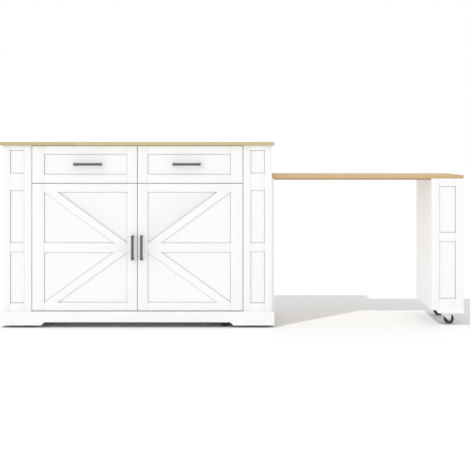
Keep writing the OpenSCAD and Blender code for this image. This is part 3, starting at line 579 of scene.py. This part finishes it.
def panel_with_reveal(name, x0, x1, z0, z1, face_y, grain, lines=()):
    """A recessed panel. A fine groove runs round its field, and along each line,
    which has a start, a slope and the side of it that the groove lies on."""
    front = face_y + RECESS
    panel = block(name, (x0 - REACH, front, z0 - REACH), (x1 + REACH, front + PANEL_T, z1 + REACH))
    near, deep = front - PROUD, front + REVEAL_D
    grooves = [block("groove", (x0, near, z0), (x0 + REVEAL_W, deep, z1)),
               block("groove", (x1 - REVEAL_W, near, z0), (x1, deep, z1)),
               block("groove", (x0, near, z0), (x1, deep, z0 + REVEAL_W)),
               block("groove", (x0, near, z1 - REVEAL_W), (x1, deep, z1))]
    for (x, z), slope, side in lines:
        low, high = sorted((0, side * REVEAL_W))
        length = math.hypot(x1 - x0, z1 - z0)
        line = local_block("groove", (-3, -PROUD, low), (length + 3, REVEAL_D, high))
        grooves.append(set_down(line, place(x, front, z), Matrix.Rotation(slope, 4, "Y")))
    cut(panel, *grooves)
    return dress(ease(panel, 0.3, 1), PAINT[grain])


def brace_lines(x0, x1, outer_z, inner_z):
    """Both edges of a brace from a window's outer corner to the opposite one."""
    width, height = x1 - x0, abs(outer_z - inner_z)
    way = 1 if outer_z > inner_z else -1
    slope = math.atan2(height, width) + math.asin(BRACE_W / math.hypot(width, height))
    return [((x0, outer_z), way * slope, -way),
            ((x0 + BRACE_W / math.sin(slope), outer_z), way * slope, way)]


def panels_between(name, low, high, layout, grain="Z", braced=False):
    """The panels of one frame, from the lowest up. A braced frame has two, with
    braces that run from its outer corners to its middle rail."""
    left, right, rails = layout
    x0, x1 = low.x + left, high.x - right
    panels = []
    for number, (below, above) in enumerate(zip(rails, rails[1:])):
        z0, z1 = below[1], above[0]
        lines = ()
        if braced:
            outer_z, inner_z = (z0, z1) if number == 0 else (z1, z0)
            lines = brace_lines(x0, x1, outer_z, inner_z)
        panels.append(panel_with_reveal(name, x0, x1, z0, z1, low.y, grain, lines))
    return join(name, panels)


def make_posts():
    low, high = span("post_frame_left")
    left = frame_boards("post_boards_left", low, high, POST_FRAME)
    mount(left, "cabinet", "white_paint", "post_frame_left")
    right = mirror_of(left, "post_boards_right")
    mount(right, "cabinet", "white_paint", "post_frame_right")
    panels = panels_between("post_fields", low, high, POST_FRAME)
    panels = join("post_fields", [panels, mirror_of(panels, "post_fields_right")])
    mount(panels, "cabinet", "white_paint", "post_panels")


def make_door_fronts():
    low, high = span("door_left_frame")
    bores = []
    for z in HINGE_Z:
        bore = turned("bore", [(17.55, -11.6), (17.55, PROUD)], sides=40)
        bores.append(set_down(bore, place(DOOR_EDGE + CUP_IN, DOOR_BACK, z), BACKWARD))
    left = frame_boards("door_left_boards", low, high, DOOR_FRAME, bores)
    fields = panels_between("door_left_fields", low, high, DOOR_FRAME, braced=True)
    right = mirror_of(left, "door_right_boards")
    right_fields = mirror_of(fields, "door_right_fields")
    for side, boards, panels in (("left", left, fields), ("right", right, right_fields)):
        mount(boards, f"door_{side}", "white_paint", f"door_{side}_frame")
        mount(panels, f"door_{side}", "white_paint", f"door_{side}_panel")
        keep(f"door_{side}_braces", PAINT["Z"], 0.5)


def make_drawer_fronts():
    low, high = span("drawer_left_front")
    left = frame_boards("front", low, high, DRAWER_FRAME)
    panel = panels_between("panel", low, high, DRAWER_FRAME, "X")
    left = join("drawer_left_face", [left, panel])
    mount(left, "drawer_left", "white_paint", "drawer_left_front")
    right = mirror_of(left, "drawer_right_face")
    mount(right, "drawer_right", "white_paint", "drawer_right_front")


def make_leg():
    low, high = span("leg_frames")
    front = frame_boards("leg_front", low, Vector((high.x, low.y + FACE_T, high.z)), LEG_FRAME)
    field = panels_between("leg_fields", low, high, LEG_FRAME)
    middle = place(0, (low.y + high.y) / 2, 0)
    for piece, name, node_name in ((front, "leg_boards", "leg_frames"),
                                   (field, "leg_fields", "leg_panels")):
        rear = mirror_of(piece, name, (0, 1, 0), middle)
        mount(join(name, [piece, rear]), "table", "white_paint", node_name)
    keep("leg_sides", PAINT["Z"])
    keep("leg_base", PAINT["X"], 0.5)


# ------------ worktop, table, boards

def make_tops():
    for name, node_name, body in (("worktop_boards", "worktop", "cabinet"),
                                  ("table_boards", "table_top", "table")):
        low, high = span(node_name)
        board = dress(ease(block(name, low, high), TOP_EASE, 3), OAK[node_name])
        mount(board, body, "oak_top", node_name)
    keep("table_runners", RUNNER, 0.8)


def keep_carcass():
    for name in ("side_panel_left", "side_panel_right", "bay_partitions", "centre_partitions",
                 "back_panel"):
        keep(name, PAINT["Z"])
    for name in ("floor_panel", "table_deck", "drawer_deck", "cross_rails", "shelves",
                 "plinth_front", "plinth_returns"):
        keep(name, PAINT["X"])
    keep("bearing_board", PAINT["Z"], 0.8)


# ------------ pulls

BAR_T = 8        # thickness of a pull's bar
FOOT_L = 10      # length of its feet along the bar
FOOT_IN = 1      # how far they lie within the bar's outline
NECK = 1.2       # gap that the neck bridges between foot and bar
NECK_IN = 0.8    # how far the neck lies within the foot
BITE = 0.5       # how far it reaches into both


def bar_pull(name, node_name, along):
    """A flat bar along X (0) or Z (2) on two square feet, each with a neck at the bar."""
    low, high = span(node_name)
    behind = low.y + BAR_T
    parts = [ease(block("bar", low, (high.x, behind, high.z)), 1.1, 3)]
    for end in (0, 1):
        a = [low.x + FOOT_IN, behind + NECK, low.z + FOOT_IN]
        b = [high.x - FOOT_IN, high.y, high.z - FOOT_IN]
        if end:
            a[along] = b[along] - FOOT_L
        else:
            b[along] = a[along] + FOOT_L
        parts.append(ease(block("foot", a, b), 0.5))
        parts.append(block("neck", (a[0] + NECK_IN, behind - BITE, a[2] + NECK_IN),
                           (b[0] - NECK_IN, behind + NECK + BITE, b[2] - NECK_IN)))
    return join(name, parts)


def make_pulls():
    for side, _ in SIDES:
        for kind, along, finish in (("door", 2, GUNMETAL["Z"]), ("drawer", 0, GUNMETAL["X"])):
            body = f"{kind}_{side}"
            pull = dress(bar_pull(f"{body}_bar_pull", f"{body}_pull", along), finish)
            mount(pull, body, "gunmetal", f"{body}_pull")


# ------------ fasteners

def round_edges(piece, radius, segments, test, origin=CENTRE):
    """Rounds the edges that pass a test on their two ends, in millimetres from an origin."""
    only(piece)
    bpy.ops.object.mode_set(mode="EDIT")
    bpy.ops.mesh.select_mode(type="EDGE")
    bpy.ops.mesh.select_all(action="DESELECT")
    bpy.ops.object.mode_set(mode="OBJECT")
    points = [(vertex.co - origin) * 1000 for vertex in piece.data.vertices]
    for edge in piece.data.edges:
        edge.select = test(points[edge.vertices[0]], points[edge.vertices[1]])
    bpy.ops.object.mode_set(mode="EDIT")
    bpy.ops.mesh.bevel(offset=radius / 1000, segments=segments, affect="EDGES")
    bpy.ops.mesh.select_mode(type="VERT")
    bpy.ops.object.mode_set(mode="OBJECT")
    return piece


def screw_head(name, radius, domed):
    """Head of a cross-recessed screw, its seat at Z = 0."""
    rise = 0.55 * radius if domed else 0.06 * radius
    rings = [(radius * 0.97, -0.3), (radius, 0), (radius * 0.94, rise * 0.55),
             (radius * 0.7, rise * 0.92), (radius * 0.3, rise)]
    head = turned(name, rings, sides=20)
    arm, half, deep = radius * 0.52, radius * 0.11, rise - radius * 0.5
    cross = [local_block("slot", (-arm, -half, deep), (arm, half, rise + 1)),
             local_block("slot", (-half, -arm, deep), (half, arm, rise + 1))]
    return smooth(cut(head, *cross))


SCREWS = {"pan": screw_head("pan_screw", 3.6, True),
          "flat": screw_head("flat_screw", 3.4, False),
          "small": screw_head("small_screw", 2.4, True)}


def put_screws(name, kind, spots, body, slot, finish):
    """Copies a screw head to each place and direction, as one piece. Each is turned
    by chance."""
    heads = []
    for spot, direction in spots:
        spin = Matrix.Rotation(random.uniform(0, math.pi / 2), 4, "Z")
        heads.append(copy_of(SCREWS[kind], name, place(*spot), facing(direction) @ spin))
    mount(dress(join(name, heads), finish), body, slot)


def hexagon_head(name, rings):
    """A hexagon nut or bolt head, its seat at Z = 0."""
    return smooth(turned(name, rings, sides=6), 20)


# ------------ hinges

WING_FROM, WING_TO = 18.2, 35.5    # screw wings above and below a cup's centre


def hinge_cup(z):
    """Pressed cup with its rim and two screw wings, in the left door's back."""
    rings = [(15.5, -11.4), (17.2, -10.9), (17.45, -9.5), (17.45, -0.1), (18.9, 0), (19, 0.3),
             (18.6, 0.78), (17.2, 0.8), (16.4, 0.2), (16.3, -9.0), (15.4, -10.1), (12, -10.3)]
    cup = turned("cup", rings, sides=40)
    parts = [set_down(cup, place(DOOR_EDGE + CUP_IN, DOOR_BACK, z), BACKWARD)]
    for way in (-1, 1):
        tip = z + way * WING_TO
        a, b = sorted((z + way * WING_FROM, tip))
        wing = block("wing", (DOOR_EDGE + 16.5, DOOR_BACK, a),
                     (DOOR_EDGE + 28.5, DOOR_BACK + 0.8, b))
        round_edges(wing, 5.9, 6, lambda p, q: abs(p.z - tip) < 0.1 and abs(q.z - tip) < 0.1
                    and abs(p.x - q.x) < 0.1)
        parts.append(ease(wing, 0.25))
    return join("hinge_cup", parts)


def hinge_arm(z):
    """Slotted, cranked arm on its mounting plate, with its pin in the cup. Its
    measures are from the door's outer front edge."""
    x, y = DOOR_EDGE, DOOR_FACE
    arm = block("arm", (x + 7, y + 19.6, z - 6), (x + 18, y + 69.4, z + 6))
    crank = block("crank", (x + 7.2, y + 19.6, z - 5.6), (x + 25.8, y + 25.4, z + 5.6))
    tip = block("tip", (x + 18.2, y + 11.2, z - 5.2), (x + 25.8, y + 25.2, z + 5.2))
    for other in (crank, tip):
        work(arm, "BOOLEAN", operation="UNION", object=other, solver="EXACT")
        bpy.data.objects.remove(other)
    cut(arm, block("slot", (x + 15.5, y + 40, z - 2.2), (x + 19, y + 60, z + 2.2)))
    ease(arm, 0.8, 3)
    pin = turned("pin", [(1.2, -5.9), (1.5, -5.6), (1.5, 5.6), (1.2, 5.9)], sides=16)
    set_down(pin, place(x + 22, y + 13.6, z))
    plate = block("plate", (x + 5, y + 28.6, z - 22), (x + 7, y + 74.4, z + 22))
    round_edges(plate, 6, 5, lambda p, q: abs(p.x - q.x) > 1.5)
    ease(plate, 0.35)
    return join("hinge_arm", [arm, pin, plate])


def make_hinges():
    cup_x, plate_x, arm_x = -DOOR_EDGE - CUP_IN, 511.8, 501.2    # seats of the screws
    for side, way in SIDES:
        cups = join(f"hinge_cups_{side}", [hinge_cup(z) for z in HINGE_Z])
        if side == "right":
            left_hand = cups
            cups = mirror_of(left_hand, "hinge_cups_right_hand")
            bpy.data.objects.remove(left_hand)
        mount(dress(cups, NICKEL), f"door_{side}", "steel", f"door_{side}_cups")
        spots = [((way * cup_x, DOOR_BACK + 0.7, z + lift), (0, 1, 0))
                 for z in HINGE_Z for lift in (-27, 27)]
        put_screws(f"cup_screws_{side}", "small", spots, f"door_{side}", "steel", NICKEL)
    left = join("hinge_arms_left_hand", [hinge_arm(z) for z in HINGE_Z])
    arms = join("hinge_arm_set", [left, mirror_of(left, "hinge_arms_right_hand")])
    mount(dress(arms, NICKEL), "cabinet", "steel", "hinge_arms")
    spots = [((way * plate_x, DOOR_FACE + 51, z + lift), (-way, 0, 0))
             for way in (-1, 1) for z in HINGE_Z for lift in (-16, 16)]
    spots += [((way * arm_x, DOOR_FACE + 34, z), (-way, 0, 0)) for way in (-1, 1) for z in HINGE_Z]
    put_screws("hinge_plate_screws", "small", spots, "cabinet", "steel", NICKEL)


# ------------ slides

SLIDE_Y = (-200, 180)
SLIDE_Z = 805                        # middle of a slide's height
SLIDE_HOLES = (-170, -60, 70, 150)   # places along Y
OUTER_WALL, INNER_WALL = 514, 8      # faces that carry slides and shelf pins
SHEET = 1.2                          # metal of the members
BALLS = 9                            # in one row
CAGE_END = 8                         # from a cage's end to its first ball

# Web and lips of each member, from the web of the outer one, and its height
MEMBERS = {"outer": (0, 9.1, 45), "middle": (1.7, 9.6, 37.6), "inner": (13, 3.4, 29.2)}

# Height of the rows above and below the middle, radius of the balls, ends of the cages
BALL_ROWS = ((20.05, 1.2, (10, 160)), (16.1, 1.4, (-180, -30)))


def channel(name, web_x, lip_x, height):
    """Rolled channel of sheet metal along Y, from its web to its lips."""
    low_x, high_x = sorted((web_x, lip_x))
    low_y, high_y = SLIDE_Y
    low_z, high_z = SLIDE_Z - height / 2, SLIDE_Z + height / 2
    piece = block(name, (low_x, low_y, low_z), (high_x, high_y, high_z))
    into = math.copysign(SHEET, lip_x - web_x)
    a, b = sorted((web_x + into, lip_x + into))
    cut(piece, block("hollow", (a, low_y - PROUD, low_z + SHEET),
                     (b, high_y + PROUD, high_z - SHEET)))
    round_edges(piece, 1.1, 3, lambda p, q: abs(p.x - web_x) < 0.1 and abs(q.x - web_x) < 0.1
                and abs(p.y - q.y) > 100)
    for y in SLIDE_HOLES:
        hole = turned("hole", [(2.6, -6), (2.6, 6)], sides=20)
        cut(piece, set_down(hole, place(web_x, y, SLIDE_Z), QUARTER_Y))
    return ease(piece, 0.25, 1)


def ball_rows(web_x, way, lift, radius, span_y):
    """Two cages, above and below, each with a row of bearing balls."""
    low_y, high_y = span_y
    step = (high_y - low_y - 2 * CAGE_END) / (BALLS - 1)
    x = web_x + way * 5
    parts = []
    for z in (SLIDE_Z - lift, SLIDE_Z + lift):
        cage = block("cage", (x - 2.2, low_y, z - 0.3), (x + 2.2, high_y, z + 0.3))
        parts.append(dress(ease(cage, 0.2, 1), ZINC))
        for number in range(BALLS):
            bpy.ops.object.select_all(action="DESELECT")
            bpy.ops.mesh.primitive_ico_sphere_add(
                subdivisions=2, radius=radius / 1000,
                location=place(x, low_y + CAGE_END + number * step, z))
            ball = bpy.context.object
            settle(ball)
            bpy.ops.object.shade_smooth()
            parts.append(dress(ball, NICKEL))
    return join("rows", parts)


def make_slides():
    outers = []
    for side, way in SIDES:
        members = {kind: [] for kind in MEMBERS}
        rows = []
        for web_x, inward in ((way * OUTER_WALL, -way), (way * INNER_WALL, way)):
            for kind, (web, lips, height) in MEMBERS.items():
                members[kind].append(
                    channel(kind, web_x + inward * web, web_x + inward * lips, height))
            rows += [ball_rows(web_x, inward, *row) for row in BALL_ROWS]
        outers += members["outer"]
        middles = dress(join(f"middle_members_{side}", members["middle"]), ZINC)
        mount(middles, f"mid_slides_{side}", "slide_steel", f"drawer_{side}_mid_slides")
        inners = dress(join(f"inner_members_{side}", members["inner"]), ZINC)
        mount(inners, f"drawer_{side}", "slide_steel", f"drawer_{side}_inner_slides")
        mount(join(f"ball_cages_{side}", rows), f"mid_slides_{side}", "slide_steel")
    outers = dress(join("outer_members", outers), ZINC)
    mount(outers, "cabinet", "slide_steel", "slide_outer_members")


# ------------ drawer boxes

def make_drawer_boxes():
    low, high = span("drawer_left_box")
    wall, bottom_up, bottom_t, back_lower = 12, 8, 5, 4
    left = block("side", (low.x, low.y, low.z), (low.x + wall, high.y, high.z))
    right = block("side", (high.x - wall, low.y, low.z), (high.x, high.y, high.z))
    ends = [block("end", (low.x + wall, y, low.z), (high.x - wall, y + wall, top))
            for y, top in ((low.y, high.z), (high.y - wall, high.z - back_lower))]
    floor = block("bottom", (low.x + wall, low.y + wall, low.z + bottom_up),
                  (high.x - wall, high.y - wall, low.z + bottom_up + bottom_t))
    boards = [dress(ease(board, 1.2), BIRCH["Y"]) for board in (left, right)]
    boards += [dress(ease(board, 1.2), BIRCH["X"]) for board in ends]
    boards.append(dress(floor, BIRCH["X"]))
    box = join("drawer_left_walls", boards)
    boxes = {"left": box, "right": mirror_of(box, "drawer_right_walls")}
    for side, way in SIDES:
        mount(boxes[side], f"drawer_{side}", "birch", f"drawer_{side}_box")
        spots = [((way * x, low.y + wall, z), (0, 1, 0))
                 for x in (80, 180, 340, 440) for z in (800, 850)]
        put_screws(f"front_screws_{side}", "flat", spots, f"drawer_{side}", "birch", ZINC)


# ------------ casters

# Millimetres from the swivel and the floor

TRAIL, AXLE_Z = 22, 25               # the wheel's axle
CHEEK_Y = 13                         # outer face of a fork's cheek
CROWN_Z = 58.2                       # top of a fork
PLATE_LOW, PLATE_HIGH = (-30, -23, 63.5), (30, 23, 66)
BOLTS = [(x, y) for x in (-23, 23) for y in (-16, 16)]
AXLE = (TRAIL / 1000, 0, AXLE_Z / 1000)
FRAME_ORIGIN = Vector((0, 0, 0))


def both_halves(half):
    """Rings of a turned piece whose lower half is like its upper half."""
    return [(radius, -z) for radius, z in half] + [(radius, z) for radius, z in reversed(half)]


def caster_wheel():
    """Black tyre with two fine grooves on a ribbed hub, at the frame's origin, its axle along Y."""
    half = [(17.5, 7.0), (19.8, 8.9), (22.8, 8.95), (24.2, 8.3), (24.85, 6.6), (25, 4.6), (25, 3.6),
            (24.55, 3.3), (24.55, 2.7), (25, 2.4)]
    tyre = turned("tyre", both_halves(half), True, 64)
    half = [(3.1, 9.9), (6.6, 9.9), (7.1, 9.4), (8, 7.2), (16.2, 7.0), (17.5, 7.6)]
    hub = turned("hub", both_halves(half), True, 48)
    parts = [dress(tyre, RUBBER), dress(hub, NYLON)]
    rib = dress(ease(local_block("rib", (7.4, -0.7, 7.0), (16.6, 0.7, 8.3)), 0.25, 1), NYLON)
    for number in range(8):
        for flip in (0, math.pi):
            turn = Matrix.Rotation(flip, 4, "X") @ Matrix.Rotation(number * math.pi / 4, 4, "Z")
            parts.append(copy_of(rib, "rib", turn=turn))
    bpy.data.objects.remove(rib)
    return set_down(join("caster_wheel", parts), AXLE, QUARTER_X)


def caster_fork():
    """Pressed fork with slanted cheeks on a round crown, its swivel at the frame's origin."""
    shell = local_block("shell", (-17, -CHEEK_Y, 17), (36, CHEEK_Y, CROWN_Z))
    cut(shell, local_block("throat", (-30, -10.5, 0), (40, 10.5, 55.7)))
    for x, z, out_x, out_z in ((-17, 51.7, -0.696, -0.718), (30, 25, 0.9915, -0.130),
                               (17, CROWN_Z, 0.3665, 0.9304)):
        slice_off(shell, Vector((x, 0, z)) / 1000, (out_x, 0, out_z))

    def at(point, x, z):
        return abs(point.x - x) < 1.5 and abs(point.z - z) < 1.5

    for x, z, radius, segments in ((18.7, 17, 3.2, 5), (28.95, 17, 4.6, 6), (33.5, 51.7, 4, 5)):
        round_edges(shell, radius, segments, lambda p, q: at(p, x, z) and at(q, x, z), FRAME_ORIGIN)
    round_edges(shell, 2.2, 4, lambda p, q: abs(abs(p.y) - CHEEK_Y) < 0.1 and p.z > 58
                and q.z > 58 and abs(p.y - q.y) < 0.1, FRAME_ORIGIN)
    cut(shell, turned("hole", [(4.1, 50), (4.1, 65)], sides=32))
    ease(shell, 0.35, 2)
    crown = turned("crown", [(11, 55.6), (15.6, 55.65), (16.8, 56.4), (16.8, 57.6), (16, CROWN_Z),
                             (4.1, CROWN_Z), (4.1, 55.6)], True, 48)
    axle = turned("axle", [(2.2, -12.9), (2.95, -12.4), (2.95, 12.4), (2.2, 12.9)], sides=24)
    set_down(axle, AXLE, QUARTER_X)
    parts = [dress(shell, POWDER), dress(crown, POWDER), dress(axle, ZINC)]
    for way in (-1, 1):
        nut = hexagon_head("nut", [(4.5, 0), (5, 0.4), (5, 2.6), (4.4, 3), (3, 3)])
        set_down(nut, (AXLE[0], way * CHEEK_Y / 1000, AXLE[2]), facing((0, way, 0)))
        parts.append(dress(nut, ZINC))
    return join("caster_fork", parts)


def caster_plate():
    """Mounting plate with four bolts, the ball race below it and the riveted king pin."""
    plate = local_block("plate", PLATE_LOW, PLATE_HIGH)
    for x, y in BOLTS:
        hole = turned("hole", [(3, 60), (3, 70)], sides=20)
        cut(plate, set_down(hole, (x / 1000, y / 1000, 0)))
    round_edges(plate, 5, 5, lambda p, q: abs(p.z - q.z) > 2 and abs(p.x) > 29.5
                and abs(p.y) > 22.5, FRAME_ORIGIN)
    ease(plate, 0.4)
    race = turned("race", [(12, 58.55), (15.4, 58.55), (16.9, 59.4), (17, 61.2), (16.2, 62.6),
                           (15.4, 63.5)], sides=48)
    pin = turned("king_pin", [(4.6, 52.4), (6.1, 53.0), (6.5, 54.2), (6.2, 55.35), (4, 55.4),
                              (3.95, 60)], sides=32)
    parts = [dress(plate, POWDER), dress(race, POWDER), dress(pin, ZINC)]
    for x, y in BOLTS:
        head = hexagon_head("bolt", [(4.2, 0), (4.6, 0.4), (4.6, 2.4), (4.0, 2.8), (2, 2.8)])
        head.data.transform(Matrix.Rotation(x * y, 4, "Z"))
        set_down(head, (x / 1000, y / 1000, PLATE_LOW[2] / 1000), facing((0, 0, -1)))
        parts.append(dress(head, ZINC))
    return join("caster_plate", parts)


def make_casters():
    wheel, fork, plate = caster_wheel(), caster_fork(), caster_plate()
    plates = {"cabinet": [], "table": []}
    for name, joint in JOINTS.items():
        if not name.startswith("swivel_"):
            continue
        spot = name.replace("swivel_", "")
        swivel = Vector(joint["pos_m"])
        shift = (swivel.x, swivel.y, 0)
        for piece, kind, slot in ((fork, "fork", "caster_metal"), (wheel, "wheel", "caster_wheel")):
            made = copy_of(piece, f"{kind}_of_{spot}", shift)
            mount(made, f"{kind}_{spot}", slot, f"{kind}_{spot}")
        plates["table" if "leg" in spot else "cabinet"].append(copy_of(plate, "plate", shift))
    for body, node_name in (("cabinet", "caster_plates"), ("table", "leg_caster_plates")):
        mount(join(f"plates_of_{body}", plates[body]), body, "caster_metal", node_name)
    for piece in (wheel, fork, plate):
        bpy.data.objects.remove(piece)


# ------------ small fittings

BACK_Y = 223                         # back of the back panel
BOARD_X = 675                        # outer face of the bearing board
RAIL_Z = 881                         # below the rails under the worktop
SHELF_PIN_Y, SHELF_PIN_Z = (-130, 154), 392.5
PULL_X, PULL_Z = 22, 394             # middle of a door's pull
PULL_SCREW = 54.75                   # from there to each of its screws
BUMPER_X, BUMPER_Z = 4.9, (95, 697)  # pads at the doors' inner corners


def make_shelf_pins():
    rings = [(2.1, -8.8), (2.5, -8.4), (2.5, 0.1), (3.6, 0.15), (3.6, 1.1), (2.5, 1.3), (2.5, 7.4),
             (2.0, 7.9)]
    pins = []
    for way in (-1, 1):
        for y in SHELF_PIN_Y:
            for wall, out in ((INNER_WALL, way), (OUTER_WALL, -way)):
                pin = turned("pin", rings, sides=20)
                pins.append(set_down(pin, place(way * wall, y, SHELF_PIN_Z), facing((out, 0, 0))))
    mount(dress(join("shelf_pin_set", pins), NICKEL), "cabinet", "steel", "shelf_pins")


def make_small_fixings():
    rows = [(x, z) for x in (-630, -420, -210, 0, 210, 420, 630) for z in (75, 888)]
    rows += [(x, z) for x in (-638, -522, 0, 522, 638) for z in (250, 430, 610)]
    back = [((x, BACK_Y, z), (0, 1, 0)) for x, z in rows]
    board = [((BOARD_X, y, z), (1, 0, 0)) for y in (-150, 8, 166) for z in (110, 400, 690)]
    top = [((x, y, RAIL_Z), (0, 0, -1))
           for x in (-460, -260, -60, 60, 260, 460) for y in (-164, 174)]
    for name, kind, spots in (("back_screws", "flat", back), ("bearing_screws", "flat", board),
                              ("worktop_screws", "pan", top)):
        put_screws(name, kind, spots, "cabinet", "white_paint", ZINC)
    for side, way in SIDES:
        pull = [((way * PULL_X, DOOR_BACK, PULL_Z + lift), (0, 1, 0))
                for lift in (-PULL_SCREW, PULL_SCREW)]
        put_screws(f"pull_screws_{side}", "pan", pull, f"door_{side}", "steel", ZINC)
        pads = []
        for z in BUMPER_Z:
            pad = turned("pad", [(2.6, 0), (2.75, 0.25), (2.5, 0.7), (1.8, 0.9)], sides=24)
            pads.append(set_down(pad, place(way * BUMPER_X, DOOR_BACK, z), BACKWARD))
        mount(dress(join(f"bumpers_{side}", pads), CLEAR), f"door_{side}", "steel")


# ------------ camera and lights

def aim_camera():
    """Level and straight at the front, from right of the cabinet's middle."""
    camera = bpy.data.objects.new("camera", bpy.data.cameras.new("camera"))
    bpy.context.scene.collection.objects.link(camera)
    camera.location = place(481, -4952, 884)
    camera.rotation_euler = (math.pi / 2, 0, 0)
    camera.data.lens = 73.5
    camera.data.shift_y = -0.185
    camera.data.clip_end = 200
    bpy.context.scene.camera = camera


def sunlight(name, floor, link_state, direction, energy, degrees):
    """A sun that lights only the floor, or all but the floor. Its degrees are its
    width in the sky."""
    sun = bpy.data.objects.new(name, bpy.data.lights.new(name, "SUN"))
    bpy.context.scene.collection.objects.link(sun)
    sun.data.energy = energy
    sun.data.angle = math.radians(degrees)
    sun.rotation_mode = "QUATERNION"
    sun.rotation_quaternion = Vector(direction).to_track_quat("-Z", "Y")
    lit = bpy.data.collections.new(name + "_lights")
    lit.objects.link(floor)
    sun.light_linking.receiver_collection = lit
    lit.collection_objects[0].light_linking.link_state = link_state


def light_studio():
    """A white room that lights all over, a bit whiter where it is seen, and a white
    floor with a sun of its own."""
    scene = bpy.context.scene
    scene.view_settings.view_transform = "Standard"
    world = bpy.data.worlds.new("studio")
    scene.world = world
    world.use_nodes = True
    tree = world.node_tree
    background = tree.nodes["Background"]
    background.inputs["Color"].default_value = (1, 1, 1, 1)
    path = node(tree, "LightPath").outputs
    seen = maths(tree, "MAXIMUM", path["Is Camera Ray"],
                 maths(tree, "MAXIMUM", path["Is Glossy Ray"], path["Is Transmission Ray"]))
    tree.links.new(ramp(tree, seen, 0, 1, 0.93, 1.0), background.inputs["Strength"])

    bpy.ops.object.select_all(action="DESELECT")
    bpy.ops.mesh.primitive_plane_add(size=80, location=(0, 0, 0))
    floor = bpy.context.object
    floor.name = "floor"
    made = material("floor", Roughness=0.7, Specular_IOR_Level=0.2,
                    Base_Color=tint(0.81, 0.81, 0.81))[0]
    dress(floor, made)
    sunlight("window_sun", floor, "INCLUDE", direction=(0.65, 0.636, -1), energy=1.52, degrees=1.2)
    sunlight("soft_key", floor, "EXCLUDE", direction=(0.8, 0.75, -0.5), energy=0.42, degrees=70)


aim_camera()
light_studio()
make_tops()
keep_carcass()
make_posts()
make_door_fronts()
make_drawer_fronts()
make_leg()
make_pulls()
make_hinges()
make_slides()
make_drawer_boxes()
make_casters()
make_shelf_pins()
make_small_fixings()
for head in SCREWS.values():
    bpy.data.objects.remove(head)
